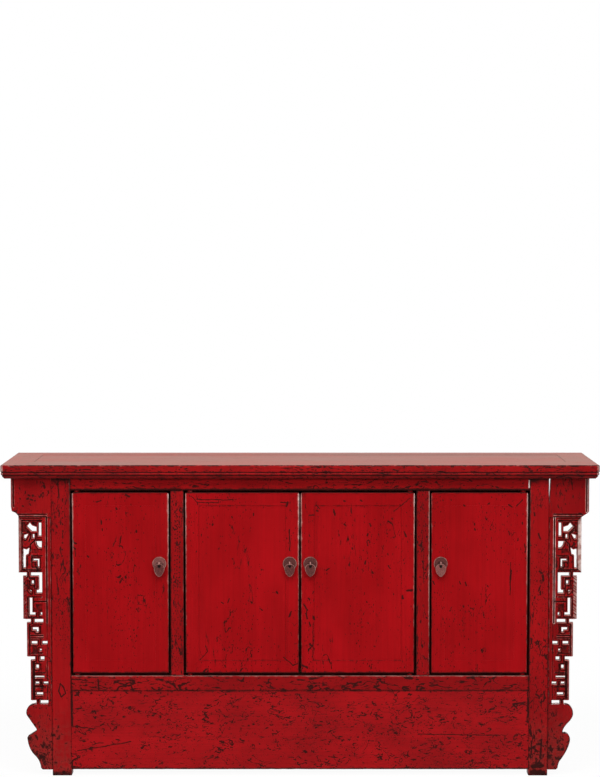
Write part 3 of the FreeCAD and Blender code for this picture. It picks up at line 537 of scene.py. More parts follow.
def ring_distance(points: Array, ring: Array) -> Array:
    """Distance to a closed ring, positive inside, by counting how often a ray to the right crosses it.

    Args:
        points: Points to measure from.
        ring: Corners of the ring.

    Returns:
        The distances.
    """
    closed = np.concatenate([ring, ring[:1]])
    start, stop = closed[:-1], closed[1:]
    spans = (start[None, :, 1] > points[:, None, 1]) != (stop[None, :, 1] > points[:, None, 1])
    rise = np.where(np.abs(stop[:, 1] - start[:, 1]) < 1e-9, 1e-9, stop[:, 1] - start[:, 1])
    crossing = (stop[:, 0] - start[:, 0]) * (points[:, None, 1] - start[:, 1]) / rise + start[:, 0]
    inside = (spans & (points[:, None, 0] < crossing)).sum(axis=1) % 2 == 1
    return np.where(inside, 1, -1) * line_distance(points, closed)


class Cut:
    """Something carved into the face of a board."""

    def cut(self, points: Array, depth: Array, wear: Array) -> Array:
        """Carve it.

        Args:
            points: (out, up) points of the face.
            depth: Depth of the face so far.
            wear: Its wear, which is changed.

        Returns:
            The new depth.
        """
        raise NotImplementedError


@dataclass(frozen=True)
class Groove(Cut):
    """Cut along a line of (out, up) points."""

    line: tuple[Pair, ...]
    half_width: float = 1.8
    depth: float = 3.0
    grime_and_shade: float = 1.1
    rub: float = 0.7

    def cut(self, points: Array, depth: Array, wear: Array) -> Array:
        """Sink the face by 1 - (d / half)^2, with grimy darkening and painted shade in the cut, and pale
        rubbing with painted highlight on its shoulders.

        Args:
            points: (out, up) points of the face.
            depth: Depth so far.
            wear: Its wear, which is changed.

        Returns:
            The new depth.
        """
        gap = line_distance(points, np.array(self.line)) / self.half_width
        at_least(wear, GRIME_AND_SHADE, self.grime_and_shade * np.clip(1.5 - gap, 0, 1))
        at_least(wear, RUB_AND_SHEEN, self.rub * np.exp(-((gap - 1.6) / 0.5) ** 2))
        return depth + self.depth * np.clip(1 - gap ** 2, 0, 1)


@dataclass(frozen=True)
class Recess(Cut):
    """Sunk rectangle between two (out, up) corners, with a slope of a given width round it."""

    low: Pair
    high: Pair
    depth: float
    slope: float = 1.6

    def cut(self, points: Array, depth: Array, wear: Array) -> Array:
        """Sink the face inside the corners, darkened there by painted shade.

        Args:
            points: (out, up) points of the face.
            depth: Depth so far.
            wear: Its wear, which is changed.

        Returns:
            The new depth.
        """
        inset = np.minimum(points - self.low, np.array(self.high) - points).min(axis=1)
        sunk = np.clip(inset / self.slope + 0.5, 0, 1)
        at_least(wear, GRIME_AND_SHADE, RECESS_SHADE * sunk)
        return depth + self.depth * sunk


@dataclass(frozen=True)
class Bevel(Cut):
    """Slope back to an upright line of two (out, up) points: its run, fall, pale rubbing with painted
    highlight, and chip.

    notch is the pitch of slanting notches, or nought for none. A mitred one stops at both ends on a slant.
    """

    line: tuple[Pair, Pair]
    run: float
    fall: float
    rub: float
    chip: float
    notch: float
    mitred: bool

    def cut(self, points: Array, depth: Array, wear: Array) -> Array:
        """Lay the slope fall.(1 - d / run) over the face near the line, notched by clipped uneven sines.

        Args:
            points: (out, up) points of the face.
            depth: Depth so far.
            wear: Its wear, which is changed.

        Returns:
            The new depth.
        """
        slope = 1 - line_distance(points, np.array(self.line)) / self.run
        ends = np.minimum(points[:, 1] - self.line[0][1], self.line[1][1] - points[:, 1])
        on = slope > 0
        if self.mitred:
            past = ends - self.run * (1 - slope)
            # Painted shade along the slanted ends.
            at_least(wear, GRIME_AND_SHADE, np.where(on, 1.2 * np.exp(-np.abs(past) / 0.9), 0))
            on &= past > 0
        beat = np.zeros(len(points))
        if self.notch:
            slant = FULL_TURN * (points @ (0.8, 1)) / self.notch
            beat = 1.6 * np.sin(slant + 1.5 * np.sin(0.29 * slant)) + 0.4 * np.sin(0.43 * slant)
            beat = np.clip(beat, 0, 1)
        # Pale rubbing with painted highlight on the slope; painted shade in the notches and where the slope
        # is deepest, by the line.
        rub = self.rub * (0.8 + 0.2 * slope) * (1 - 0.6 * beat)
        grime_and_shade = np.maximum(0.5 * beat, 5 * (slope - 0.88))
        worn_and_lit = np.stack([rub, np.full(len(points), self.chip), grime_and_shade], axis=1)
        wear[on] = worn_and_lit[on]
        return np.where(on, self.fall * slope + 1.2 * beat, depth)


@dataclass(frozen=True)
class Carving:
    """Board cut to rings of (out, up) points: the first is its outline, the rest are pierced.

    The edge along round_edge is rounded, or every cut edge where pierced_round is set. hem is the distance
    from every cut edge of a shallow line that follows it, and hem_from the distance out from the post where
    those lines begin. rim is how far the rounded edges are rubbed pale with painted highlight, chipped, and
    grimy with painted shade.
    """

    rings: tuple[tuple[Pair, ...], ...]
    front: float
    back: float
    step: float
    round_edge: tuple[Pair, ...]
    rounding: float = 2.4
    cuts: tuple[Cut, ...] = ()
    bevels: tuple[Bevel, ...] = ()
    hem: float = 0.0
    hem_from: float = 0.0
    rim: Triple = (1.0, 0.5, 0.0)
    pierced_round: bool = False

    def distance(self, points: Array) -> Array:
        """Distance into the wood from the nearest cut edge, negative outside."""
        pierced = [-ring_distance(points, np.array(ring)) for ring in self.rings[1:]]
        return np.minimum.reduce([ring_distance(points, np.array(self.rings[0])), *pierced])

    def settled(self, points: Array) -> Array:
        """Points moved onto the nearest cut edge: three steps of distance down its slope.

        Args:
            points: (out, up) points close to an edge.

        Returns:
            The moved points.
        """
        nudges = 0.05 * np.eye(2)
        for _ in range(3):
            here = self.distance(points)
            rises = [self.distance(points + nudge) - self.distance(points - nudge) for nudge in nudges]
            slope = np.stack(rises, axis=1)
            slope /= np.maximum(np.linalg.norm(slope, axis=1, keepdims=True), TINY)
            points = points - here[:, None] * slope
        return points

    def relief(self, points: Array) -> tuple[Array, Array]:
        """Depth of the carved face and its wear.

        Depth is the rounding of cut edges, r - sqrt(r^2 - (r - d)^2), plus grooves and recesses, plus the
        shallow line at a fixed distance from the edges. A bevel takes the place of all these where it lies.

        Args:
            points: (out, up) points of the board.

        Returns:
            Depth in millimetres and wear at each point.
        """
        edge = line_distance(points, np.array(self.round_edge))
        if self.pierced_round:
            edge = np.maximum(self.distance(points), 0)
        turn = self.rounding - np.minimum(edge, self.rounding)
        depth = self.rounding - np.sqrt(np.maximum(self.rounding ** 2 - turn ** 2, 0))
        wear = np.array(self.rim) * np.exp(-edge[:, None] / np.array(RIM_REACH))
        for cut in self.cuts:
            depth = cut.cut(points, depth, wear)
        if self.hem:
            beyond = np.clip((points[:, 0] - self.hem_from) / 2, 0, 1)
            gap = np.abs(edge - self.hem) / HEM_HALF_WIDTH
            depth = depth + HEM_DEPTH * beyond * np.clip(1 - gap ** 2, 0, 1)
            at_least(wear, GRIME_AND_SHADE, beyond * np.clip(1.5 - gap, 0, 0.95))
        for bevel in self.bevels:
            depth = bevel.cut(points, depth, wear)
        return depth, wear

    def patch(self, post_face: float) -> Patch:
        """Grid of square cells over the board, cells outside left out and the rest drawn to the cut edges.

        Args:
            post_face: Distance of the post's outer face from the middle plane.

        Returns:
            Closed surface of the left-hand board: carved front, flat back and the walls between.
        """
        ring = np.array(self.rings[0])
        lows = ring.min(axis=0) - 0.5 * self.step
        counts = np.ceil((ring.max(axis=0) + 0.5 * self.step - lows) / self.step).astype(int)
        out, up = [low + self.step * np.arange(count + 1) for low, count in zip(lows, counts)]
        grid = np.stack(np.meshgrid(out, up, indexing="ij"), axis=-1)
        centres = (grid[:-1, :-1] + grid[1:, 1:]) / 2
        keep = self.distance(centres.reshape(-1, 2)).reshape(centres.shape[:2]) > 0
        padded = np.pad(keep, 1)
        touching = np.stack([padded[:-1, :-1], padded[1:, :-1], padded[1:, 1:], padded[:-1, 1:]])
        used = touching.any(axis=0)
        flat = grid[used]
        rim = ~touching.all(axis=0)[used]
        flat[rim] = self.settled(flat[rim])
        number = np.cumsum(used).reshape(used.shape) - 1
        cells = np.stack([number[:-1, :-1], number[1:, :-1], number[1:, 1:], number[:-1, 1:]], axis=-1)[keep]
        count = len(flat)
        walls = []
        neighbours = (padded[1:-1, :-2], padded[2:, 1:-1], padded[1:-1, 2:], padded[:-2, 1:-1])
        for corner, neighbour in enumerate(neighbours):
            open_side = ~neighbour[keep]
            start = cells[open_side, corner]
            stop = cells[open_side, (corner + 1) % 4]
            walls.append(np.stack([stop, start, start + count, stop + count], axis=1))
        depth, wear = self.relief(flat)
        front = np.stack([-post_face - flat[:, 0], self.front + depth, flat[:, 1]], axis=1)
        behind = np.stack([front[:, 0], np.full(count, self.back), front[:, 2]], axis=1)
        quads = np.concatenate([cells, cells[:, ::-1] + count] + walls)
        back_rim = np.where(rim, BACK_RIM_WEAR, 0)
        back_wear = np.stack([back_rim, back_rim, np.full(count, BACK_GRIME)], axis=1)
        points = np.concatenate([front, behind])
        return Patch(points, quads, [], np.concatenate([wear, back_wear])).facing_out()


# Finishes

def colour(tone: Triple) -> Tint:
    """Screen colour in 0..255 as the linear colour that nodes take.

    Args:
        tone: Red, green and blue.

    Returns:
        The linear colour, fully opaque.
    """
    levels = np.array(tone) / 255
    linear = np.where(levels <= 0.04045, levels / 12.92, ((levels + 0.055) / 1.055) ** 2.4)
    return (*linear.tolist(), 1)


def stretched(grain: Grain, along: float) -> Triple:
    """Mapping scale that draws a pattern out along the grain."""
    return tuple(along if axis == grain.value else 1 for axis in range(3))


class Graph:
    """Short way to write one node tree."""

    def __init__(self, tree: bpy.types.NodeTree) -> None:
        """Keep the tree that the nodes go into."""
        self.tree = tree

    def fill(self, node: bpy.types.Node, inputs: dict[str | int, Feed]) -> None:
        """Link inputs of a node, or set them to plain values.

        Args:
            node: Node to feed.
            inputs: What each input gets, by name or number.
        """
        for key, value in inputs.items():
            if isinstance(value, Socket):
                self.tree.links.new(value, node.inputs[key])
            else:
                node.inputs[key].default_value = value

    def node(self, kind: str, inputs: dict[str | int, Feed] | None = None,
             **settings: object) -> bpy.types.Node:
        """Add a node.

        Args:
            kind: Type of the node.
            inputs: What its inputs get.
            settings: Its other properties.

        Returns:
            The new node.
        """
        made = self.tree.nodes.new(kind)
        for key, value in settings.items():
            setattr(made, key, value)
        self.fill(made, inputs or {})
        return made

    def use(self, group: bpy.types.NodeTree, **inputs: Feed) -> bpy.types.bpy_prop_collection:
        """Outputs of a shared group that is fed by the names of its inputs."""
        return self.node("ShaderNodeGroup", inputs, node_tree=group).outputs

    def math(self, operation: str, *values: Feed) -> Socket:
        """One arithmetic step."""
        return self.node("ShaderNodeMath", dict(enumerate(values)), operation=operation).outputs[0]

    def times(self, first: Feed, second: Feed) -> Socket:
        """Product of two values."""
        return self.math("MULTIPLY", first, second)

    def less(self, first: Feed, second: Feed) -> Socket:
        """One value less another."""
        return self.math("SUBTRACT", first, second)

    def scaled(self, value: Feed, factor: Feed, offset: Feed) -> Socket:
        """A value times a factor, plus an offset."""
        return self.math("MULTIPLY_ADD", value, factor, offset)

    def length(self, first: Socket, second: Socket) -> Socket:
        """Length of a leg from its two parts."""
        return self.math("SQRT", self.scaled(first, first, self.times(second, second)))

    def largest(self, first: Feed, *others: Feed) -> Feed:
        """Largest of several masks.

        Args:
            first: One mask.
            others: Any others.

        Returns:
            The largest value.
        """
        for other in others:
            first = self.math("MAXIMUM", first, other)
        return first

    def step(self, value: Feed, low: Feed, high: Feed) -> Socket:
        """Smooth rise from 0 at low to 1 at high."""
        return self.node("ShaderNodeMapRange", {"Value": value, "From Min": low, "From Max": high},
                         interpolation_type="SMOOTHSTEP").outputs[0]

    def fall(self, value: Feed, low: Feed, high: Feed) -> Socket:
        """Smooth fall from 1 at low to 0 at high."""
        return self.less(1, self.step(value, low, high))

    def noise(self, vector: Feed, scale: Feed, detail: float, roughness: float = 0.5,
              distortion: float = 0.0) -> Socket:
        """Cloudy value about one half."""
        return self.node("ShaderNodeTexNoise", {"Vector": vector, "Scale": scale, "Detail": detail,
                                                "Roughness": roughness, "Distortion": distortion}).outputs[0]

    def ripple(self, vector: Feed, scale: Feed, detail: float, roughness: float = 0.5) -> Socket:
        """Cloudy value about nought."""
        return self.less(self.noise(vector, scale, detail, roughness), 0.5)

    def blend(self, factor: Feed, first: Feed, second: Feed) -> Socket:
        """Colour between two by a factor."""
        return self.node("ShaderNodeMix", {0: factor, 6: first, 7: second}, data_type="RGBA").outputs[2]

    def tint(self, base: Feed, mask: Feed, share: float, over: Triple) -> Socket:
        """A colour covered by a screen colour, as far as a share of a mask."""
        return self.blend(self.times(mask, share), base, colour(over))

    def wavering(self, vector: Feed, scale: float, amount: float) -> Socket:
        """Coordinates pushed about by a cloud, so that straight things waver.

        Args:
            vector: The coordinates.
            scale: Scale of the cloud.
            amount: Size of the push.

        Returns:
            The new coordinates.
        """
        cloud = self.node("ShaderNodeTexNoise", {"Vector": vector, "Scale": scale, "Detail": 2}).outputs[1]
        middle = {0: cloud, 1: (0.5,) * 3}
        centred = self.node("ShaderNodeVectorMath", middle, operation="SUBTRACT").outputs[0]
        return self.node("ShaderNodeVectorMath", {0: centred, 1: (amount,) * 3, 2: vector},
                         operation="MULTIPLY_ADD").outputs[0]

    def parts(self, vector: Feed) -> bpy.types.bpy_prop_collection:
        """The x, y and z of a vector."""
        return self.node("ShaderNodeSeparateXYZ", {0: vector}).outputs

    def attribute(self, name: str) -> Socket:
        """Value carried by the mesh's points."""
        return self.node("ShaderNodeAttribute", attribute_name=name).outputs["Fac"]

    def mapped(self, vector: Feed, scale: Triple, shift: Triple) -> Socket:
        """Coordinates stretched and shifted."""
        inputs = {"Vector": vector, "Scale": scale, "Location": shift}
        return self.node("ShaderNodeMapping", inputs).outputs[0]

    def bump(self, strength: float, distance: float, height: Feed) -> Socket:
        """Normal of a surface raised by a height."""
        inputs = {"Strength": strength, "Distance": distance, "Height": height}
        return self.node("ShaderNodeBump", inputs).outputs[0]


class Effects:
    """Shader node groups that several finishes share, each built once. Masks run from 0 to 1.

    Every static method after _group fills one group: it takes the group's graph and the group's inputs in the
    order that they are listed, and returns its outputs in that order.
    """

    def __init__(self) -> None:
        """Build every group from its name, its inputs, its outputs and the method that fills it."""
        self.flakes = self._group("flake_outlines", "vector scale level line cover broken", "mask",
                                  self._flakes)
        self.waver = self._group("wavering_place", "vector", "x z uneven", self._waver)
        self.mark = self._group("drawn_mark", "x z uneven start_x start_z run_x run_z width", "mask",
                                self._mark)
        self.dots = self._group("dot_row", "vector x low high pitch size", "mask", self._dots)
        self.soil = self._group("soil", "vector low high amount", "mask film", self._soil)
        self.specks = self._group("specks", "vector scale size share", "mask", self._specks)
        self.fibres = self._group("lifted_fibres", "vector scale level", "mask", self._fibres)
        self.streaks = self._group("grain_streaks", "vector scale", "mask", self._streaks)
        self.edges = self._group("edge_wear_and_sheen", "vector rub chip", "pale bright dark", self._edges)
        self.grime_and_shade = self._group("grime_and_shade", "vector hollow", "mask", self._grime_and_shade)

    @staticmethod
    def _group(name: str, inputs: str, outputs: str,
               build: Callable[..., Sequence[Feed]]) -> bpy.types.NodeTree:
        """Make a group of value sockets, with a vector socket where it takes a place, and fill it.

        Args:
            name: Name of the group.
            inputs: Names of its inputs, in order.
            outputs: Names of its outputs, in order.
            build: Method that takes the group's graph and its inputs, and returns its outputs.

        Returns:
            The finished group.
        """
        tree = bpy.data.node_groups.new(name, "ShaderNodeTree")
        for direction, keys in (("INPUT", inputs.split()), ("OUTPUT", outputs.split())):
            for key in keys:
                kind = "NodeSocketVector" if key == "vector" else "NodeSocketFloat"
                tree.interface.new_socket(name=key, in_out=direction, socket_type=kind)
        graph = Graph(tree)
        given = graph.node("NodeGroupInput").outputs
        results = build(graph, *[given[key] for key in inputs.split()])
        graph.fill(graph.node("NodeGroupOutput"), dict(zip(outputs.split(), results)))
        return tree

    @staticmethod
    def _flakes(g: Graph, *given: Socket) -> Sequence[Feed]:
        """Contour lines of a cloudy field, like rims of lifted lacquer, broken up and gathered in patches.

        Args:
            g: The group's graph.
            given: Its inputs.

        Returns:
            Its outputs.
        """
        vector, scale, level, line, cover, broken = given
        field = g.noise(vector, scale, 2, 0.45, 0.7)
        field = g.scaled(g.ripple(vector, g.times(scale, 6), 2), 0.09, field)
        away = g.math("ABSOLUTE", g.less(field, level))
        rim = g.fall(away, g.times(line, 0.5), line)
        dash = g.step(g.noise(vector, g.times(scale, 3.3), 2), broken, g.math("ADD", broken, 0.05))
        patch = g.step(g.noise(vector, g.times(scale, 0.31), 2), cover, g.math("ADD", cover, 0.05))
        return (g.times(g.times(rim, dash), patch),)

    @staticmethod
    def _waver(g: Graph, *given: Socket) -> Sequence[Feed]:
        """Place on an upright face pushed about by a cloud, and a cloud about one for uneven line widths.

        Args:
            g: The group's graph.
            given: Its inputs.

        Returns:
            Its outputs.
        """
        vector, = given
        x, _, z = g.parts(g.wavering(vector, 60, 0.006))
        return x, z, g.times(g.noise(vector, 90, 3, 0.7), 2)

    @staticmethod
    def _mark(g: Graph, *given: Socket) -> Sequence[Feed]:
        """One straight scratch or joint line on an upright face, by the distance to its nearest foot.

        Args:
            g: The group's graph.
            given: Its inputs.

        Returns:
            Its outputs.
        """
        x, z, uneven, start_x, start_z, run_x, run_z, width = given
        from_x = g.less(x, start_x)
        from_z = g.less(z, start_z)
        along = g.scaled(from_x, run_x, g.times(from_z, run_z))
        square = g.scaled(run_x, run_x, g.times(run_z, run_z))
        share = g.math("MINIMUM", g.math("MAXIMUM", g.math("DIVIDE", along, square), 0), 1)
        gap = g.length(g.less(from_x, g.times(share, run_x)), g.less(from_z, g.times(share, run_z)))
        reach = g.times(width, uneven)
        return (g.fall(gap, g.times(reach, 0.5), reach),)

    @staticmethod
    def _dots(g: Graph, *given: Socket) -> Sequence[Feed]:
        """Upright row of small dots at one x, half-way between whole pitches of z, between two heights.

        Args:
            g: The group's graph.
            given: Its inputs.

        Returns:
            Its outputs.
        """
        vector, x, low, high, pitch, size = given
        across, _, up = g.parts(g.wavering(vector, 30, 0.008))
        rise = g.times(g.less(g.math("FRACT", g.math("DIVIDE", up, pitch)), 0.5), pitch)
        spot = g.fall(g.length(rise, g.less(across, x)), g.times(size, 0.6), size)
        within = g.times(g.math("GREATER_THAN", up, low), g.math("LESS_THAN", up, high))
        return (g.times(spot, within),)

    @staticmethod
    def _soil(g: Graph, *given: Socket) -> Sequence[Feed]:
        """Dark blotches that gather towards the ground, peaks of a cloud raised there, in a film of dust.

        Args:
            g: The group's graph.
            given: Its inputs.

        Returns:
            Its outputs.
        """
        vector, low, high, amount = given
        near = g.fall(g.parts(vector)[2], low, high)
        cloud = g.scaled(near, amount, g.noise(vector, 52, 6, 0.68))
        return g.step(cloud, 0.64, 0.72), g.times(near, g.step(cloud, 0.42, 0.7))

    @staticmethod
    def _specks(g: Graph, *given: Socket) -> Sequence[Feed]:
        """Small dark spots of many sizes: the middles of some cells, where a slow cloud allows them.

        Args:
            g: The group's graph.
            given: Its inputs.

        Returns:
            Its outputs.
        """
        vector, scale, size, share = given
        bent = g.wavering(vector, 160, 0.006)
        cells = g.node("ShaderNodeTexVoronoi", {"Vector": bent, "Scale": scale}).outputs
        lots = g.node("ShaderNodeSeparateColor", {0: cells["Color"]}).outputs
        radius = g.times(size, g.scaled(lots[1], 0.9, 0.3))
        spot = g.fall(cells["Distance"], g.times(radius, 0.6), radius)
        crowd = g.times(share, g.step(g.noise(vector, 9, 3), 0.38, 0.62))
        return (g.times(spot, g.math("LESS_THAN", lots[0], crowd)),)

    @staticmethod
    def _fibres(g: Graph, *given: Socket) -> Sequence[Feed]:
        """Short dark dashes along the grain, in crowds: peaks of a drawn-out cloud, on a slower one.

        Args:
            g: The group's graph.
            given: Its inputs.

        Returns:
            Its outputs.
        """
        vector, scale, level = given
        cloud = g.scaled(g.ripple(vector, 14, 3), 0.35, g.noise(vector, scale, 5, 0.7))
        return (g.step(cloud, level, g.math("ADD", level, 0.04)),)

    @staticmethod
    def _streaks(g: Graph, *given: Socket) -> Sequence[Feed]:
        """Fine lines along the grain: a cloud seen in coordinates drawn out along it."""
        vector, scale = given
        return (g.step(g.noise(vector, scale, 5, 0.65), 0.38, 0.66),)

    @staticmethod
    def _edges(g: Graph, *given: Socket) -> Sequence[Feed]:
        """Wear of long edges: pale rubbing with painted sheen, a painted highlight where it is most, and dark
        chips, all cloudy.

        Args:
            g: The group's graph.
            given: Its inputs.

        Returns:
            Its outputs.
        """
        vector, rub, chip = given
        rubbed = g.scaled(g.ripple(vector, 60, 5, 0.7), 1.5, rub)
        chipped = g.scaled(g.ripple(vector, 48, 6, 0.72), 2.2, chip)
        return g.step(rubbed, 0.42, 0.95), g.step(rubbed, 0.95, 1.5), g.step(chipped, 0.5, 0.62)

    @staticmethod
    def _grime_and_shade(g: Graph, *given: Socket) -> Sequence[Feed]:
        """Soiling that settles in grooves and joints, with painted shade in gaps and recesses, uneven along
        them.
        """
        vector, hollow = given
        return (g.step(g.scaled(g.ripple(vector, 50, 6, 0.72), 1.5, hollow), 0.25, 0.8),)

    def worn_and_lit(self, g: Graph, place: Socket) -> bpy.types.bpy_prop_collection:
        """Edge wear and painted highlight of a mesh in a material."""
        return g.use(self.edges, vector=place, rub=g.attribute("rub"), chip=g.attribute("chip"))

    def dirt_and_shade(self, g: Graph, place: Socket) -> Socket:
        """Grimy darkening and painted shade of a mesh in a material."""
        return g.use(self.grime_and_shade, vector=place, hollow=g.attribute("grime_and_shade"))[0]


def new_material(name: str) -> tuple[Material, Graph, bpy.types.Node, Socket]:
    """Empty material with a Principled shader.

    Args:
        name: Name of the material.

    Returns:
        The material, its graph, its shader and the Object coordinates.
    """
    material = bpy.data.materials.new(name)
    material.use_nodes = True
    material.node_tree.nodes.clear()
    graph = Graph(material.node_tree)
    shader = graph.node("ShaderNodeBsdfPrincipled")
    graph.node("ShaderNodeOutputMaterial", {"Surface": shader.outputs[0]})
    return material, graph, shader, graph.node("ShaderNodeTexCoord").outputs["Object"]


# Screen colours of bare ground, also used for painted shade; rubbed edges with painted sheen; painted
# highlights; grain lines; painted shade; and dust.
BARE_AND_SHADE_DARK = (42, 16, 14)
RUBBED_AND_SHEEN = (176, 124, 116)
PAINTED_HIGHLIGHT = (232, 212, 206)
GRAIN_RED = (96, 10, 13)
SHADE_RED = (70, 8, 10)
DUST = (112, 62, 54)

# A mark is a scratch or open joint on an upright face: x and z of its start and its end, and half its width.
MarkRow = tuple[float, float, float, float, float]


@dataclass(frozen=True)
class DotRow:
    """Upright row of nail-like dots: its x, the heights that it runs between, its pitch and its radius."""

    x: float
    low: float
    high: float
    pitch: float = 27.0
    radius: float = 1.7


@dataclass(frozen=True)
class LacquerFinish:
    """Old red lacquer over dark ground: flake outlines, specks, grain lines, edge wear, grimy joints, painted
    highlights and painted shade.

    Heights are in metres. painted_shade is painted shade from the top's overhang, a darkening that grows
    between two heights, with its greatest share. Above calm the lacquer is hardly broken and has a polished
    coat. soil is dirty blotching that fades between two heights, with its amount. marks are scratches and
    open joints, painted_light_marks bright streaks of painted light, and rows are lines of dots.
    """

    name: str
    grain: Grain
    deep_red: Triple = (144, 12, 17)
    bright_red: Triple = (170, 15, 22)
    ring_scale: float = 22.0
    ring_cover: float = 0.5
    crack_scale: float = 34.0
    crack_cover: float = 0.5
    line: float = 0.014
    speck_share: float = 0.4
    speck_scale: float = 150.0
    speck_size: float = 0.36
    blot_share: float = 0.0
    blot_scale: float = 62.0
    blot_size: float = 0.2
    fibre_level: float = 0.68
    fibre_scale: float = 210.0
    streak: float = 0.2
    streak_scale: float = 160.0
    grain_stretch: float = 0.5
    roughness: float = 0.36
    specular: float = 0.1
    painted_shade: Triple = (0.0, 1.0, 0.0)
    calm: float = 0.0
    polish: float = 0.0
    soil: Triple = (0.0, 1.0, 0.0)
    shift: Triple = (0.0, 0.0, 0.0)
    marks: tuple[MarkRow, ...] = ()
    painted_light_marks: tuple[MarkRow, ...] = ()
    rows: tuple[DotRow, ...] = ()

    @staticmethod
    def drawn(g: Graph, effects: Effects, place: Socket, marks: Sequence[MarkRow]) -> list[Socket]:
        """Masks of single marks.

        Args:
            g: The material's graph.
            effects: Shared groups.
            place: Object coordinates.
            marks: Marks to draw.

        Returns:
            One mask for each mark.
        """
        if not marks:
            return []
        waver = g.use(effects.waver, vector=place)
        return [g.use(effects.mark, x=waver["x"], z=waver["z"], uneven=waver["uneven"], start_x=start_x * MM,
                      start_z=start_z * MM, run_x=(stop_x - start_x) * MM, run_z=(stop_z - start_z) * MM,
                      width=width * MM)[0]
                for start_x, start_z, stop_x, stop_z, width in marks]

    def broken(self, g: Graph, effects: Effects, place: Socket, pattern: Socket) -> Socket:
        """Mask of the lacquer's own faults: flake rims, cracks, specks, blots and lifted fibres.

        Args:
            g: The material's graph.
            effects: Shared groups.
            place: Object coordinates.
            pattern: Coordinates stretched along the grain.

        Returns:
            The mask.
        """
        rings = g.use(effects.flakes, vector=pattern, scale=self.ring_scale, level=0.59, line=self.line,
                      cover=self.ring_cover, broken=0.42)[0]
        aside = g.mapped(place, stretched(self.grain, self.grain_stretch * 0.55), (3.1, 1.7, 2.3))
        cracks = g.use(effects.flakes, vector=aside, scale=self.crack_scale, level=0.5, line=self.line * 1.25,
                       cover=self.crack_cover, broken=0.5)[0]
        specks = [g.use(effects.specks, vector=pattern, scale=scale, size=size, share=share)[0]
                  for scale, size, share in ((self.speck_scale, self.speck_size, self.speck_share),
                                             (self.blot_scale, self.blot_size, self.blot_share)) if share]
        dashed = g.mapped(place, stretched(self.grain, 0.26), self.shift)
        fibres = g.use(effects.fibres, vector=dashed, scale=self.fibre_scale, level=self.fibre_level)[0]
        return g.largest(rings, cracks, fibres, *specks)

    def material(self, effects: Effects) -> Material:
        """Build the finish: base colour covered layer by layer, roughness and bump from the same masks.

        Args:
            effects: Shared groups.

        Returns:
            The material.
        """
        made, g, shader, place = new_material(self.name)
        pattern = g.mapped(place, stretched(self.grain, self.grain_stretch), self.shift)
        tone = g.step(g.noise(pattern, 6, 4, 0.6), 0.3, 0.7)
        paint = g.blend(tone, colour(self.deep_red), colour(self.bright_red))
        drawn_out = g.mapped(place, stretched(self.grain, 0.022), self.shift)
        streak = g.use(effects.streaks, vector=drawn_out, scale=self.streak_scale)[0]
        paint = g.tint(paint, streak, self.streak, GRAIN_RED)
        rise = g.parts(place)[2]
        # Painted shade: darker towards the top, as under the top's overhang.
        if self.painted_shade[2]:
            paint = g.tint(paint, g.step(rise, self.painted_shade[0], self.painted_shade[1]), self.painted_shade[2], SHADE_RED)
        bare = self.broken(g, effects, place, pattern)
        if self.calm:
            upper = g.step(rise, self.calm - 0.0012, self.calm)
            bare = g.times(bare, g.scaled(upper, -0.8, 1))
            coat = g.times(upper, self.polish)
            g.fill(shader, {"Coat Weight": coat, "Coat Roughness": 0.31, "Coat IOR": 1.4})
        if self.soil[2]:
            soil = g.use(effects.soil, vector=place, low=self.soil[0], high=self.soil[1], amount=self.soil[2])
            bare = g.largest(bare, soil["mask"])
            paint = g.tint(paint, soil["film"], 0.3, DUST)
        dots = [g.use(effects.dots, vector=place, x=row.x * MM, low=row.low * MM, high=row.high * MM,
                      pitch=row.pitch * MM, size=row.radius * MM)[0] for row in self.rows]
        bare = g.largest(bare, *dots, *self.drawn(g, effects, place, self.marks))
        worn_and_lit = effects.worn_and_lit(g, place)
        # Layers: bare ground; pale rubbing with painted sheen; painted highlights; grimy joints with painted
        # shade; dark chips; streaks of painted light.
        layers = [(bare, 0.94, BARE_AND_SHADE_DARK), (worn_and_lit["pale"], 0.85, RUBBED_AND_SHEEN), (worn_and_lit["bright"], 1, PAINTED_HIGHLIGHT),
                  (effects.dirt_and_shade(g, place), 0.92, BARE_AND_SHADE_DARK), (worn_and_lit["dark"], 0.92, BARE_AND_SHADE_DARK)]
        layers += [(mask, 1, PAINTED_HIGHLIGHT) for mask in self.drawn(g, effects, place, self.painted_light_marks)]
        for mask, share, over in layers:
            paint = g.tint(paint, mask, share, over)
        missing = g.largest(bare, worn_and_lit["dark"])
        height = g.scaled(streak, -0.06, g.times(missing, -1))
        g.fill(shader, {"Base Color": paint, "Specular IOR Level": self.specular,
                        "Roughness": g.scaled(missing, 0.35, g.scaled(tone, 0.08, self.roughness)),
                        "Normal": g.bump(0.5, 0.0005, height)})
        return made


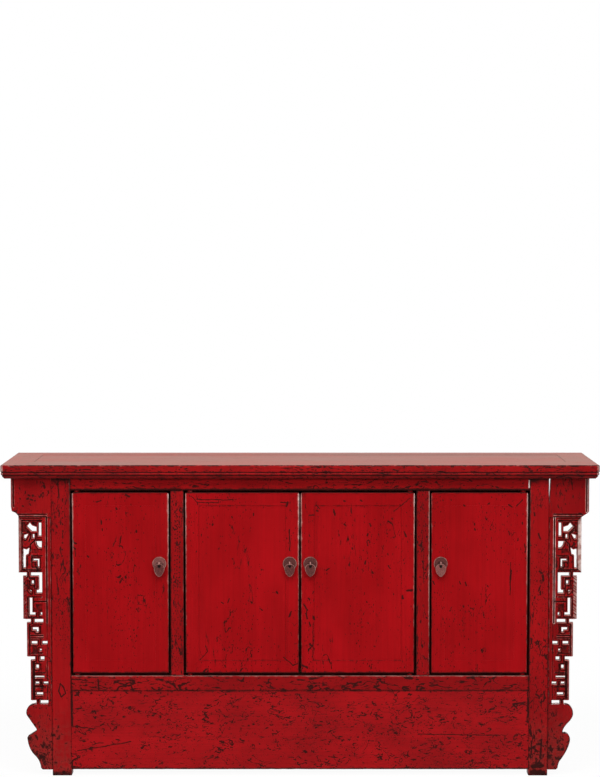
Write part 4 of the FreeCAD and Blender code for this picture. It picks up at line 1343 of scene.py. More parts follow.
@dataclass(frozen=True)
class TimberFinish:
    """Unpainted softwood darkened by age, with grain lines, knots of tone, and dust and painted shade in its
    joints.
    """

    name: str
    grain: Grain
    shift: Triple = (0.0, 0.0, 0.0)
    light: Triple = (142, 104, 74)
    dark: Triple = (82, 54, 37)
    pore: Triple = (58, 38, 27)
    stained: Triple = (70, 48, 36)
    dusty_and_shaded: Triple = (40, 27, 20)

    def material(self, effects: Effects) -> Material:
        """Build the finish from broad growth bands, fine pores and stains.

        Args:
            effects: Shared groups.

        Returns:
            The material.
        """
        made, g, shader, place = new_material(self.name)
        bands = g.mapped(place, stretched(self.grain, 0.06), self.shift)
        drawn_out = g.mapped(place, stretched(self.grain, 0.03), self.shift)
        ring = g.math("ABSOLUTE", g.math("SINE", g.times(g.noise(bands, 26, 3, 0.55, 1.2), 34)))
        pores = g.use(effects.streaks, vector=drawn_out, scale=190)[0]
        stain = g.step(g.noise(place, 5, 5, 0.6), 0.42, 0.7)
        wood = g.blend(ring, colour(self.light), colour(self.dark))
        for mask, share, over in ((pores, 0.45, self.pore), (stain, 0.5, self.stained),
                                  (effects.dirt_and_shade(g, place), 0.7, self.dusty_and_shaded)):
            wood = g.tint(wood, mask, share, over)
        height = g.scaled(pores, -0.6, g.times(ring, 0.3))
        g.fill(shader, {"Base Color": wood, "Roughness": g.scaled(pores, 0.15, 0.66),
                        "Specular IOR Level": 0.25, "Normal": g.bump(0.35, 0.0006, height)})
        return made


@dataclass(frozen=True)
class PullMetal:
    """Cast copper alloy gone brown, mottled, with rims rubbed bright by hands and painted highlights, and
    soot with painted shade.
    """

    name: str
    brown: Triple = (126, 66, 61)
    dark: Triple = (84, 42, 40)
    bright: Triple = (206, 156, 146)
    sooty_and_shaded: Triple = (36, 18, 16)

    def material(self, effects: Effects) -> Material:
        """Build the finish from a mottled tarnish, rubbed rims with painted highlights, and soot with painted
        shade.

        Args:
            effects: Shared groups.

        Returns:
            The material.
        """
        made, g, shader, place = new_material(self.name)
        mottle = g.step(g.noise(place, 420, 4, 0.65), 0.36, 0.66)
        metal = g.blend(mottle, colour(self.dark), colour(self.brown))
        metal = g.tint(metal, effects.worn_and_lit(g, place)["pale"], 0.75, self.bright)
        metal = g.tint(metal, effects.dirt_and_shade(g, place), 1, self.sooty_and_shaded)
        g.fill(shader, {"Base Color": metal, "Metallic": 0.55, "Roughness": g.scaled(mottle, -0.12, 0.56),
                        "Normal": g.bump(0.3, 0.0003, mottle)})
        return made


RAIL_MARKS = (
    (-598, 286, -597, 256, 3.4), (-676, 288, -630, 285, 2), (-544, 255, -536, 266.5, 3.4),
    (-536, 266.5, -502, 270.5, 3.6), (-502, 270.5, -494, 255, 3.2),
)
# A bright streak of painted light where the head rail meets the right post.
HEAD_RAIL_LIGHT_STREAKS = ((676, 878, 676, 860, 3),)
APRON_MARKS = (
    (-676, 250, -675.5, 148, 3.4), (-675.5, 148, -612, 139, 2.2), (-661, 73.5, -502.5, 101, 2),
    (-676, 24, -676, 44.5, 3.4), (-676, 44.5, -654, 55, 3.4), (675, 250, 675.5, 160, 3.2),
    (667, 218.5, 632, 214, 3), (632, 214, 644, 199, 3), (350, 124, 594, 119.5, 1.8),
)
DOOR_MARKS = {
    "left_outer_": (
        (-671, 700, -663, 692, 3.6), (-672, 684, -664, 676, 2.8), (-664.5, 672, -664, 655, 2),
        (-629, 656, -626, 653, 3), (-588, 759, -587, 751, 3.2), (-584, 735, -584, 731, 3),
        (-543, 797, -541, 794, 3), (-600, 816, -588, 820, 2.6), (-515, 838, -505, 833, 3.6),
    ),
    "left_inner_": (
        (-48, 353, -21, 329, 1.8), (-21, 329, -8, 335, 2.4), (-296, 345.5, -274, 372, 1.6),
        (-321, 834, -301, 810.5, 1.4), (-308, 823.5, -197, 822, 1.7), (-303, 814.5, -240, 814, 1.8),
        (-56, 816, -38, 812, 2.4), (-36, 816, -40, 803, 3.2), (-31, 735, -30, 672, 2.3),
        (-138, 782, -137.5, 776, 2.6), (-201, 773, -200, 768, 2.4), (-26, 489, -33, 474, 3.2),
        (-146, 519, -143.5, 515.5, 3.2), (-119, 499, -112, 494, 2.6), (-233, 518, -226, 514, 2.2),
        (-210, 529, -214, 516, 2), (-69, 549, -65, 545, 3),
    ),
    "right_inner_": (
        (39, 457, 39, 343, 1.5), (11, 513, 22, 494, 2.8), (19.5, 492, 20.5, 468, 3), (8, 329, 22, 322.5, 4),
        (24, 529, 28, 526, 3), (39, 549, 38, 543, 2.5), (40, 475, 42, 467, 4), (27, 458, 31, 447, 2.4),
        (278, 787, 326, 829, 1.4), (130, 820, 133, 819, 3.4), (178, 822, 183, 818, 2.6),
        (48, 807, 59, 795.5, 1.9), (50, 790, 54, 788, 3), (28, 776, 41, 776.5, 2.6),
        (99, 792, 104, 777, 3.4), (131, 749, 134, 746, 3.4), (206, 751, 209, 744, 2.8),
        (200, 721, 198, 716, 3.6), (197, 699, 203, 703, 1.8), (203, 703, 206, 695, 1.8),
        (197, 697, 200, 686, 1.8), (154, 680, 155, 676, 3), (193.5, 640, 192, 631, 3.4),
        (213, 608, 215, 604, 3), (78, 612, 86, 618, 2.4), (318, 554, 330, 553.5, 4.6),
        (303, 538, 304.5, 529, 4), (309, 726, 313, 713, 3), (260, 759, 267, 754, 3),
        (261, 627, 267, 618, 2),
    ),
    "right_outer_": (
        (622.7, 636, 622, 540, 1.8), (624, 612, 621.5, 577, 3.2), (615.5, 807, 626, 800, 2.4),
        (640.5, 803, 656.5, 823, 1.9), (484, 806, 486.5, 803.5, 3), (553.5, 809.5, 558.5, 813, 2.4),
        (516, 752, 516.5, 748, 2.4), (516, 737, 517, 733, 3), (473, 579, 475, 571.5, 3.2),
        (489, 577, 492, 568, 2.6), (554, 566, 556, 563, 2.6), (395, 579, 399, 570, 2.6),
        (645, 709, 643, 701, 2.4), (664, 692, 667, 668, 2.2), (616, 728, 618.5, 719, 2),
        (656.5, 755, 658, 750, 2.6), (548, 772, 550, 763, 1.6), (550, 763, 553, 768, 1.6),
    ),
}
POST_MARKS = (
    (-711.4, 276, -699.6, 262.5, 2.6), (-699.6, 262.5, -696.2, 246, 2.6), (-696.2, 246, -708.7, 235.6, 2.6),
    (-708.7, 235.6, -715.7, 252, 2.6), (-715.7, 252, -711.4, 276, 2.6), (687, 104, 687.5, 65, 3.2),
    (717, 108, 713, 53, 4.2), (710, 137, 713, 130, 5), (692, 27, 718, 29, 8), (690, 10, 724, 10, 9),
    (704, 722, 710, 708, 3.4), (708, 611, 714, 606, 4), (718, 597, 719.5, 584, 5), (690, 784, 692, 777, 3),
    (711, 551, 711, 541, 3),
)
DOOR_ROWS = (DotRow(-333, 715, 800), DotRow(-333, 325, 425))
MULLION_ROWS = (DotRow(-355.5, 325, 425), DotRow(-370, 540, 795, 13, 2.4),
                DotRow(-363, 532, 790, 10.5, 2.3), DotRow(-356, 560, 780, 15, 2.8))
POST_ROWS = (DotRow(-701, 620, 790, 19, 3),)
BLOCK_MARKS = (
    (-801, 837, -798, 834, 3.4), (-789, 836, -787, 834, 3.6), (-805, 825, -802, 825.5, 3.8),
    (-794, 823, -790, 821, 3.4), (-783, 819, -780, 820, 3), (-755.5, 864, -753.5, 858, 4.2),
    (-811, 847, -810, 844, 2.8), (-769, 832, -768, 829, 2.8), (-820, 805, -817, 804, 3),
    (-758.5, 844, -757.5, 840, 2.8), (-797, 810, -795, 807, 2.6), (-828, 859, -827, 854, 2.6),
    (775, 880, 778, 866, 1.8), (795, 882, 792, 862, 1.6), (826, 782, 830, 780, 4.2),
    (758, 866, 760, 862, 2.2), (806.5, 836, 807.5, 831, 2), (783, 811, 785, 809, 2.4),
)


class Finishes:
    """Every material of the sideboard."""

    # painted_shade darkens the doors, mullions and posts towards the top as shade under the top's overhang.
    DOOR = LacquerFinish(
        "lacquer_door", Grain.ALONG_Z, (148, 10, 15), (167, 12, 19), ring_scale=28, ring_cover=0.58,
        crack_scale=42, crack_cover=0.6, line=0.018, speck_share=1, speck_scale=195, speck_size=0.26,
        blot_share=0.05, fibre_level=0.67, specular=0.05, painted_shade=(0.5, 0.86, 0.09))
    UPRIGHT = LacquerFinish(
        "lacquer_uprights", Grain.ALONG_Z, (136, 11, 15), (162, 15, 19), ring_scale=34, ring_cover=0.45,
        crack_scale=46, crack_cover=0.45, line=0.029, speck_share=2.4, speck_scale=230, blot_share=0.9,
        fibre_level=0.635, painted_shade=(0.35, 0.9, 0.22), soil=(0, 0.3, 0.12), specular=0.07, shift=(4, 1, 7),
        rows=MULLION_ROWS)
    POST = replace(
        UPRIGHT, name="lacquer_posts", deep_red=(139, 11, 15), bright_red=(163, 15, 19), ring_cover=0.5,
        crack_cover=0.5, line=0.027, blot_share=0.7, fibre_level=0.648, painted_shade=(0.35, 0.9, 0.17),
        marks=POST_MARKS, rows=POST_ROWS)
    RAIL = LacquerFinish(
        "lacquer_rails", Grain.ALONG_X, (132, 12, 15), (158, 16, 19), ring_scale=30, ring_cover=0.36,
        crack_scale=40, crack_cover=0.38, line=0.036, speck_share=2.4, speck_scale=210, fibre_level=0.62,
        specular=0.07, shift=(1, 5, 3), marks=RAIL_MARKS)
    HEAD_RAIL = LacquerFinish(
        "lacquer_head_rail", Grain.ALONG_X, (142, 13, 16), (165, 17, 20), ring_scale=34, ring_cover=0.46,
        crack_scale=50, crack_cover=0.44, line=0.026, speck_share=2.4, speck_scale=230, fibre_level=0.632,
        specular=0.06, shift=(5, 7, 3), painted_light_marks=HEAD_RAIL_LIGHT_STREAKS)
    APRON = LacquerFinish(
        "lacquer_apron", Grain.ALONG_X, (142, 14, 18), (170, 17, 22), ring_scale=34, ring_cover=0.4,
        crack_scale=50, crack_cover=0.42, line=0.022, speck_share=2.2, speck_scale=240, blot_share=0.25,
        fibre_level=0.64, grain_stretch=0.66, specular=0.08, shift=(2, 3, 9), marks=APRON_MARKS)
    TOP = LacquerFinish(
        "lacquer_top", Grain.ALONG_X, (132, 13, 15), (159, 17, 19), ring_scale=40, ring_cover=0.52,
        crack_scale=60, crack_cover=0.46, line=0.026, speck_share=2, speck_scale=220, fibre_level=0.63,
        grain_stretch=0.35, roughness=0.4, specular=0.08, calm=0.9275, polish=0.47, shift=(6, 2, 5))
    TOP_END = replace(TOP, name="lacquer_top_ends", grain=Grain.ALONG_Y, grain_stretch=0.5, shift=(7, 4, 1))
    SIDE_RAIL = LacquerFinish(
        "lacquer_sides", Grain.ALONG_Y, line=0.018, speck_share=0.8, specular=0.07, shift=(3, 8, 2))
    CARVING = LacquerFinish(
        "lacquer_carving", Grain.ALONG_Z, (128, 11, 14), (152, 15, 18), ring_scale=34, ring_cover=0.5,
        crack_scale=50, crack_cover=0.47, line=0.02, speck_share=2.4, speck_scale=220, fibre_level=0.64,
        soil=(0.03, 0.27, 0.18), specular=0.07, shift=(8, 6, 4), marks=BLOCK_MARKS)

    def __init__(self) -> None:
        """Build the shared effects and then the materials."""
        effects = Effects()
        self.doors = {}
        for stem, marks in DOOR_MARKS.items():
            rows = DOOR_ROWS if stem == "left_inner_" else ()
            door = replace(self.DOOR, name="lacquer_" + stem + "door", marks=marks, rows=rows)
            self.doors[stem] = door.material(effects)
        self.upright = self.UPRIGHT.material(effects)
        self.post = self.POST.material(effects)
        self.rail = self.RAIL.material(effects)
        self.head_rail = self.HEAD_RAIL.material(effects)
        self.apron = self.APRON.material(effects)
        self.top = self.TOP.material(effects)
        self.top_end = self.TOP_END.material(effects)
        self.side_rail = self.SIDE_RAIL.material(effects)
        self.carving = self.CARVING.material(effects)
        self.plank_x = TimberFinish("plain_wood_long", Grain.ALONG_X).material(effects)
        self.plank_y = TimberFinish("plain_wood_cross", Grain.ALONG_Y, (2, 1, 4)).material(effects)
        self.plank_z = TimberFinish("plain_wood_upright", Grain.ALONG_Z, (5, 3, 1)).material(effects)
        self.pull = PullMetal("pull_copper").material(effects)
        self.worn_pull = PullMetal("pull_copper_worn", (164, 100, 95), (118, 66, 62)).material(effects)


# Sub-assemblies

@dataclass
class TopFrame:
    """Mitred frame of the top with its edge moulding, and the panel that floats in it."""

    half_length: float = 880.0
    half_depth: float = 210.0
    underside: float = 887.0
    thickness: float = 41.0
    front_width: float = 105.0
    back_width: float = 80.0
    end_width: float = 87.0
    edge_radius: float = 3.0
    fascia_foot: float = 20.5
    bead_top: float = 18.5
    bead_foot: float = 11.5
    ogee_top: float = 9.5
    upper_quirk: float = 2.5
    lower_quirk: float = 4.5
    bead_setback: float = 1.0
    ogee_reach: float = 12.0
    moulding_grime: float = 0.37
    fascia_grime: float = 0.28
    quirk_reach: float = 2.0
    panel_thickness: float = 18.0
    panel_sink: float = 0.6
    panel_joint: float = 0.5

    def moulding(self, width: float) -> Section:
        """Section of a frame member as (in from the outer edge, up from the underside).

        Upwards from the foot: an ogee, a quirk, a bead as half a sine wave proud of its quirk, a second
        quirk, and a plain fascia with its upper edge rounded.

        Args:
            width: Width of the member.

        Returns:
            The section with grimy darkening and painted shade in both quirks, and wear with painted highlight
            on the arrises.
        """
        head = self.thickness
        rise = np.linspace(0, 1, 7)
        hollow = (self.ogee_reach - self.lower_quirk) * np.sin(rise * math.pi / 2) ** 1.3
        ogee = np.stack([self.ogee_reach - hollow, self.ogee_top * rise], axis=1)
        proud = (self.upper_quirk - self.bead_setback) * np.sin(rise * math.pi) ** 0.6
        bead_up = self.bead_foot + (self.bead_top - self.bead_foot) * rise
        bead = np.stack([self.upper_quirk - proud, bead_up], axis=1)
        fascia_up = np.linspace(self.fascia_foot + 1.2, head - self.edge_radius - 1.2, 5)
        fascia = np.stack([np.zeros(5), fascia_up], axis=1)
        foot_round = np.array(((1, self.fascia_foot), (0.3, self.fascia_foot + 0.3)))
        edge = arc_between(np.zeros(2), np.array((0, head)), np.array((width, head)), self.edge_radius)
        top_marks = np.concatenate([(5, 9, 18, 40), width - np.array(NEAR_MARKS[::-1])])
        face = np.stack([top_marks, np.full(len(top_marks), head)], axis=1)
        inner = np.array(((width, head), (width, 0)))
        quirk = np.array(((self.lower_quirk, self.bead_foot), (self.upper_quirk, self.fascia_foot)))
        outline = np.concatenate([ogee, quirk[:1], bead, quirk[1:], foot_round, fascia, edge, face, inner])
        spots = np.array(((0, head), (0, self.fascia_foot),
                          (self.bead_setback, (self.bead_foot + self.bead_top) / 2),
                          (self.upper_quirk, (self.bead_top + self.fascia_foot) / 2),
                          (self.lower_quirk, (self.ogee_top + self.bead_foot) / 2),
                          (self.ogee_reach, 0), (width, head)))
        # Pale rubbing with painted highlight on the arris; grimy darkening and painted shade in the quirks
        # and at the ogee's foot.
        weights = ((0.95, 1.05, 0.55), (0.2, 0.5, 0), (0.1, 0.3, 0), (0, 0, 1.35), (0, 0, 1.5),
                   (0, 0.5, 0.9), (0, 0, 0.55))
        wear = corner_wear(outline, spots, weights, (*WEAR_REACH[:GRIME_AND_SHADE], self.quirk_reach))
        across, up = outline.T
        outer = across < width / 2
        at_least(wear, GRIME_AND_SHADE, np.where(outer & (up < self.fascia_foot), self.moulding_grime, 0))
        on_fascia = outer & (up > self.fascia_foot) & (up < head - 1)
        at_least(wear, GRIME_AND_SHADE, np.where(on_fascia, self.fascia_grime, 0))
        return Section(outline, wear, unit(np.array((width / 2, head / 2)) - outline))

    def member(self, width: float, start: Triple, along: Array, length: float, mitres: Pair,
               seed: int) -> Patch:
        """One frame member: the moulding carried along the outer edge and mitred, its outer corners painted
        dark as shade, ringed by a painted pale highlight.

        Args:
            width: Width of the member.
            start: Low outer corner where it starts.
            along: Direction of its run.
            length: Length of its outer edge.
            mitres: Cut back at the start and the end.
            seed: Seed of its unevenness.

        Returns:
            The closed surface.
        """
        hand = Handwork(bite=0.7, end_grime_and_shade=0.35, seed=seed)
        axes = Axes(start, along, np.cross(Z_AXIS, along), Z_AXIS)
        patch = carried(self.moulding(width), axes, length, mitres, width, hand, 14)
        x, y, _ = np.abs(patch.points.T)
        corner = np.hypot(self.half_length - x, self.half_depth - y)
        # Painted shade at the outer corners of the top, ringed by a painted pale highlight.
        at_least(patch.wear, GRIME_AND_SHADE, 1.3 * np.exp(-corner / 2.6))
        at_least(patch.wear, RUB_AND_SHEEN, 1.2 * np.exp(-((corner - 4.5) / 2.5) ** 2))
        return patch

    def panel(self) -> Patch:
        """Floating panel, a plain board with eased upper edges.

        Returns:
            The closed surface.
        """
        gap = self.panel_joint
        head = self.underside + self.thickness - self.panel_sink
        low = (-self.half_length + self.end_width + gap, -self.half_depth + self.front_width + gap,
               head - self.panel_thickness)
        high = (self.half_length - self.end_width - gap, self.half_depth - self.back_width - gap, head)
        eased = Edge(0.5, 0, 0.1, 0.55)
        hand = Handwork(end_grime_and_shade=0.5, seed=7)
        return Timber(low, high, Grain.ALONG_X, (Edge(), eased, eased, Edge()), hand).patch()

    def build(self, finishes: Finishes) -> None:
        """Make and dress the five pieces of the top.

        Args:
            finishes: Materials.
        """
        x, y, z = self.half_length, self.half_depth, self.underside
        ends = (self.end_width, self.end_width)
        front = self.member(self.front_width, (-x, -y, z), X_AXIS, 2 * x, ends, 11)
        back = self.member(self.back_width, (x, y, z), -X_AXIS, 2 * x, ends, 12)
        widths = (self.front_width, self.back_width)
        right = self.member(self.end_width, (x, -y, z), Y_AXIS, 2 * y, widths, 13)
        for node, patch, material in (("top_front_stile", front, finishes.top),
                                      ("top_back_stile", back, finishes.top),
                                      ("top_right_end", right, finishes.top_end),
                                      ("top_left_end", right.mirrored(), finishes.top_end),
                                      ("top_panel", self.panel(), finishes.top)):
            make_piece(Craft.LACQUERED, node, [patch], material)


@dataclass
class Carcase:
    """Posts, rails, mullions, apron, sides and back."""

    post_outer: float = 735.0
    post_inner: float = 678.0
    front: float = -185.0
    back: float = 200.0
    post_depth: float = 50.0
    underside: float = 887.0
    opening_head: float = 850.0
    rail_level: float = 300.0
    rail_foot: float = 254.0
    clearance: float = 18.0
    mullion_inner: float = 343.5
    mullion_outer: float = 383.5
    head_rail: Pair = (-181.0, -139.0)
    foot_rail: Pair = (-184.0, -142.0)
    apron: Pair = (-183.0, -163.0)
    mullion: Pair = (-183.0, -149.0)
    side_rail: Pair = (701.0, 731.0)
    side_panel: Pair = (715.0, 727.0)
    back_rail: Pair = (166.0, 196.0)
    back_panel: Pair = (176.0, 186.0)

    def post(self, at_front: bool, seed: int) -> Patch:
        """Left corner post, rounded on all four edges.

        Args:
            at_front: Whether it stands at the front.
            seed: Seed of its unevenness.

        Returns:
            The closed surface.
        """
        near = self.front if at_front else self.back - self.post_depth
        # Edges rubbed pale with painted highlight, more towards the head; the inner side painted dark as
        # shade in the gap.
        outer = Edge(4, 0.4, 0.62, 0.3)
        inner = Edge(4, 0.95, 0.55, 0.7)
        hand = Handwork(0.5, 1, 1, seed, 13, rub_and_sheen_fade=(0.1, 1.35), chip_fade=(1.2, 0.8),
                        grime_and_shade_fade=(0.1, 0.1, 0.8) + (1,) * 8)
        low = (-self.post_outer, near, 0)
        high = (-self.post_inner, near + self.post_depth, self.underside)
        return Timber(low, high, Grain.ALONG_Z, (outer, inner, inner, outer), hand,
                      dark_sides=(False, True)).patch()

    def front_pieces(self) -> dict[str, Timber]:
        """Rails, mullions and apron of the front.

        Returns:
            The timber of each node.
        """
        x = self.post_inner
        # Painted shade: gap edges and gap-facing sides, and the head rail's upper edge under the top. Painted
        # highlight: the bottom rail's upper arris and each mullion's right front edge.
        gap = Edge(2.5, 0.2, 0.75, 1.7)
        lip = Edge(2.5, 1.25, 0.3, 0)
        joint = Edge(0.5, 0, 0.35, 0.75)
        shaded = Edge(1.2, 0, 0.35, 0.9)
        foot = Edge(2, 0, 0.8, 1.15)
        inner = Edge(2.5, 0.35, 0.7, 0.85)
        hidden = (Edge(), Edge())
        boards = (("front_top_rail", self.head_rail, self.opening_head, self.underside, (gap, shaded),
                   Handwork(0.4, 0.9, 0.7, 21), (True, False)),
                  ("front_bottom_rail", self.foot_rail, self.rail_foot, self.rail_level, (joint, lip),
                   Handwork(0.5, 0.9, 0.8, 22), (False, True)),
                  ("front_apron", self.apron, self.clearance, self.rail_foot, (foot, joint),
                   Handwork(0.8, 1.4, 0.2, 23), (False, False)))
        pieces = {}
        for node, (near, far), low, high, edges, hand, dark in boards:
            pieces[node] = Timber((-x, near, low), (x, far, high), Grain.ALONG_X, (*edges, *hidden), hand,
                                  dark_sides=dark)
        near, far = self.mullion
        for side, sign, seed, worn_and_lit in ((Side.LEFT, -1, 24, Edge(2.5, 0.8, 0.6, 0.6)),
                                       (Side.RIGHT, 1, 25, Edge(2.5, 1.5, 0.4, 0.3))):
            low, high = sorted((sign * self.mullion_inner, sign * self.mullion_outer))
            hand = Handwork(0.4, 0.9, 0.7, seed, rub_and_sheen_fade=(0.5, 1.1, 1.1))
            pieces["front_" + side.value + "_mullion"] = Timber(
                (low, near, self.rail_level), (high, far, self.opening_head), Grain.ALONG_Z,
                (inner, worn_and_lit, *hidden), hand, dark_sides=(True, True))
        return pieces

    def left_side(self) -> dict[str, list[Patch]]:
        """Rails and panels of the left side.

        Returns:
            The surfaces of each part.
        """
        y0 = self.front + self.post_depth
        y1 = self.back - self.post_depth
        worn_and_lit = Edge(1.5, 0.3, 0.35, 0.15)
        joint = Edge(0.5, 0, 0.1, 0.7)
        rails = ((self.opening_head, self.underside, 31), (self.rail_foot, self.rail_level, 32))
        panels = ((self.rail_level, self.opening_head, 33), (self.clearance, self.rail_foot, 34))
        found = {}
        for part, (inner, outer), edge, hand, spans in (
                ("side_rails", self.side_rail, worn_and_lit, Handwork(0.4, 0.7, 0.7), rails),
                ("side_panels", self.side_panel, joint, Handwork(0.7, 0.3, 0.8), panels)):
            edges = (edge, edge, Edge(), Edge())
            found[part] = [Timber((-outer, y0, low), (-inner, y1, high), Grain.ALONG_Y, edges,
                                  replace(hand, seed=seed)).patch() for low, high, seed in spans]
        return found

    def back_pieces(self) -> dict[str, list[Timber]]:
        """Rails, mullions and panels of the back, of plain wood.

        Returns:
            The timbers of each node.
        """
        x = self.post_inner
        eased = Edge(2, 0, 0, 0.8)
        plain = Edge(0.8, 0, 0, 0.9)
        framed = (plain, plain, eased, eased)
        hand = Handwork(0, 0, 0.8, 41)
        across = ((-x, x),)
        opening = (self.rail_level, self.opening_head)
        head, foot = (self.opening_head, self.underside), (self.rail_foot, self.rail_level)
        inner, outer = self.mullion_inner, self.mullion_outer
        mullions = ((-outer, -inner), (inner, outer))
        fields = ((-x, -outer), (-inner, inner), (outer, x))
        pieces = {}
        for node, spans, (near, far), (low, high), grain, edges in (
                ("back_top_rail", across, self.back_rail, head, Grain.ALONG_X, framed),
                ("back_bottom_rail", across, self.back_rail, foot, Grain.ALONG_X, framed),
                ("back_mullions", mullions, self.back_rail, opening, Grain.ALONG_Z, framed),
                ("back_panels", fields, self.back_panel, opening, Grain.ALONG_Z, (plain,) * 4)):
            pieces[node] = [Timber((left, near, low), (right, far, high), grain, edges, hand)
                            for left, right in spans]
        return pieces

    def build(self, finishes: Finishes) -> None:
        """Make and dress every piece of the carcase that shows.

        Args:
            finishes: Materials.
        """
        for place, at_front, seed in (("front", True, 51), ("back", False, 53)):
            for offset, side in enumerate(Side):
                patch = self.post(at_front, seed + offset).on(side)
                node = place + "_" + side.value + "_post"
                make_piece(Craft.LACQUERED, node, [patch], finishes.post)
        rails = {"front_top_rail": finishes.head_rail, "front_bottom_rail": finishes.rail,
                 "front_apron": finishes.apron}
        for node, timber in self.front_pieces().items():
            material = rails.get(node, finishes.upright)
            make_piece(Craft.LACQUERED, node, [timber.patch()], material)
        for part, patches in self.left_side().items():
            for side in Side:
                make_piece(Craft.LACQUERED, side.value + "_" + part, [patch.on(side) for patch in patches],
                           finishes.side_rail)
        woods = {Grain.ALONG_X: finishes.plank_x, Grain.ALONG_Z: finishes.plank_z}
        for node, timbers in self.back_pieces().items():
            patches = [timber.patch() for timber in timbers]
            make_piece(Craft.PLANED, node, patches, woods[timbers[0].grain])


@dataclass
class Wing:
    """Side wing: plain block with a beaded edge, pierced fret of four stepped tiers, and a scrolled foot.

    SLOTS are upright rectangles (out, out, up, up), SHAPES other openings, LINES carved lines, SUNK recesses
    (out, up, out, up, depth), each by tier from the lowest and with heights from the tier's foot.
    """

    side: Side
    post_face: float = 735.0
    front: float = -181.0
    back: float = -157.0
    fret_sink: float = 3.0
    base: float = 17.0
    foot_height: float = 196.0
    neck: float = 11.0
    head: float = 771.0
    underside: float = 887.0
    reach: float = 119.0
    tier_reaches: tuple[float, ...] = (64.5, 75.0, 85.5, 98.0)
    tier_heights: tuple[float, ...] = (120.0, 101.0, 128.0, 165.0)
    neck_starts: tuple[float, ...] = (12.5, 23.5, 26.0, 28.5)
    neck_inner: tuple[float, ...] = (37.0, 36.0, 53.0, 63.0)
    neck_outer: tuple[float, ...] = (48.0, 51.0, 63.0, 74.0)
    bevel_runs: tuple[float, ...] = (6.0, 7.0, 11.0, 9.0)
    worn_run: float = 12.0
    bevel_falls: tuple[float, ...] = (6.0, 7.0, 8.0, 8.5)
    bevel_notches: tuple[float, ...] = (0.0, 0.0, 9.5, 0.0)
    margin: float = 14.2
    worn_margin: float = 17.0
    bead_inset: float = 7.5

    SLOTS = (
        ((40, 49, 94.5, 106.5), (24, 53.5, 67, 73), (39.5, 51, 48, 55.5),
         (12.5, 27, 48, 55.5), (28, 48, 15, 23.5)),
        ((40, 58.5, 78.5, 87.5), (40, 47, 72.5, 78.5), (44, 62, 36.5, 46),
         (14, 30, 36.5, 46), (31.5, 37.5, 16, 23)),
        ((28.5, 38.5, 77, 128), (28.5, 46, 77, 87), (53, 60.5, 104, 115),
         (58, 67, 11, 63.5), (49, 67, 11, 20), (29, 34.5, 11, 20)),
        ((30, 38.5, 108, 148), (50.5, 56.5, 102, 114), (36.5, 55, 34.5, 40.5),
         (36.5, 42, 16, 40.5)),
    )
    SHAPES = (
        (),
        (),
        (((68, 86), (60.5, 86), (60.5, 77.5)),),
        (((63.5, 148), (57.5, 140), (44, 135), (44, 121.5), (59, 121.5), (73, 136)),
         ((82, 111), (68.5, 114.5), (77, 99.5), (82, 101)),
         ((47, 93), (29, 93), (29, 73), (37.5, 73), (43.5, 80)),
         ((84, 71), (73, 68), (65.5, 73.5), (68.5, 54), (76, 52), (77, 13), (84.5, 13))),
    )
    LINES = (
        (((56.9, 6), (56.9, 116)), ((53, 6), (53, 116)), ((20, 40), (52, 40)),
         ((22, 82), (52, 82))),
        (((66, 8), (66, 94)), ((26.6, 55.8), (62.2, 55.8)), ((27, 63), (63, 63)),
         ((30, 10), (62, 10))),
        (((17, 52.8), (52.5, 52.8)), ((31, 66), (56, 66)), ((70.5, 8), (70.5, 62)),
         ((50, 91), (50, 121), (66, 121))),
        (((86.8, 8), (86.8, 156)), ((28, 155), (86.8, 155)), ((28, 49.3), (57.5, 49.3)), ((30, 8), (84, 8)),
         ((58, 50), (58, 16), (40, 16)), ((74, 125), (60, 112), (66, 92)),
         ((48, 96), (62, 84), (62, 66))),
    )
    SUNK = (
        ((26, 27.5, 34, 46, 2.5), (31, 84, 37, 110, 2.5)),
        ((32, 66, 38, 92, 3), (44, 12, 58, 31, 3)),
        ((63.5, 90, 73, 116, 3.5), (29, 24, 47, 44.5, 3.5)),
        ((45, 141, 57, 151, 5), (76, 120, 86, 150, 3.5), (40, 100, 48, 117, 3),
         (38, 57, 58, 70, 2)),
    )

    # Rubbing with painted highlight and chips of each tier's bevel; the right wing's bevels carry more
    # painted highlight.
    BEVEL_WEAR_AND_SHEEN = {
        Side.LEFT: ((0.5, 0.2), (0.55, 0.2), (0.62, 0.2), (0.84, 0.2)),
        Side.RIGHT: ((0.75, 0.2), (0.8, 0.2), (1.12, 0.2), (1.32, 0.3)),
    }
    BLOCK_CORNERS = {
        Side.LEFT: ((0, 31), (2.5, 17), (13, 13), (21.5, 4), (22, 0)),
        Side.RIGHT: ((0, 17), (3, 12.5), (22, 0)),
    }
    BLOCK_LINES = (((14, 779.5), (99, 779.5)), ((14, 772), (95, 772)))
    BLOCK_SLIT = ((0, 792), (3.2, 836), (5.6, 887))
    FOOT_ARCS = {
        Side.LEFT: (((52, 196), (71, 188), (78, 172)), ((78, 172), (77.3, 165), (74, 159)),
                    ((51, 125.5), (47.5, 119.5), (50, 114)), ((72, 99.5), (74.6, 96.8), (75, 93)),
                    ((75, 93), (67.5, 63), (52, 41)), ((52, 41), (40.5, 25), (35, 4))),
        Side.RIGHT: (((52, 196), (69.5, 188), (76, 168)), ((76, 168), (72.8, 155), (61.4, 140)),
                     ((61.4, 140), (50, 126), (45, 113)), ((45, 113), (47, 109), (54.8, 108.8)),
                     ((54.8, 108.8), (64.6, 101), (67.5, 87)), ((67.5, 87), (57.5, 57), (37, 25)),
                     ((37, 25), (33, 15), (31, 4))),
    }

    def tier_bases(self) -> list[Pair]:
        """Foot of each neck and of the tier above it, lowest first, up from the floor.

        Returns:
            Both heights for each tier.
        """
        found = []
        foot = self.base + self.foot_height
        for height in self.tier_heights:
            found.append((foot, foot + self.neck))
            foot += self.neck + height
        return found

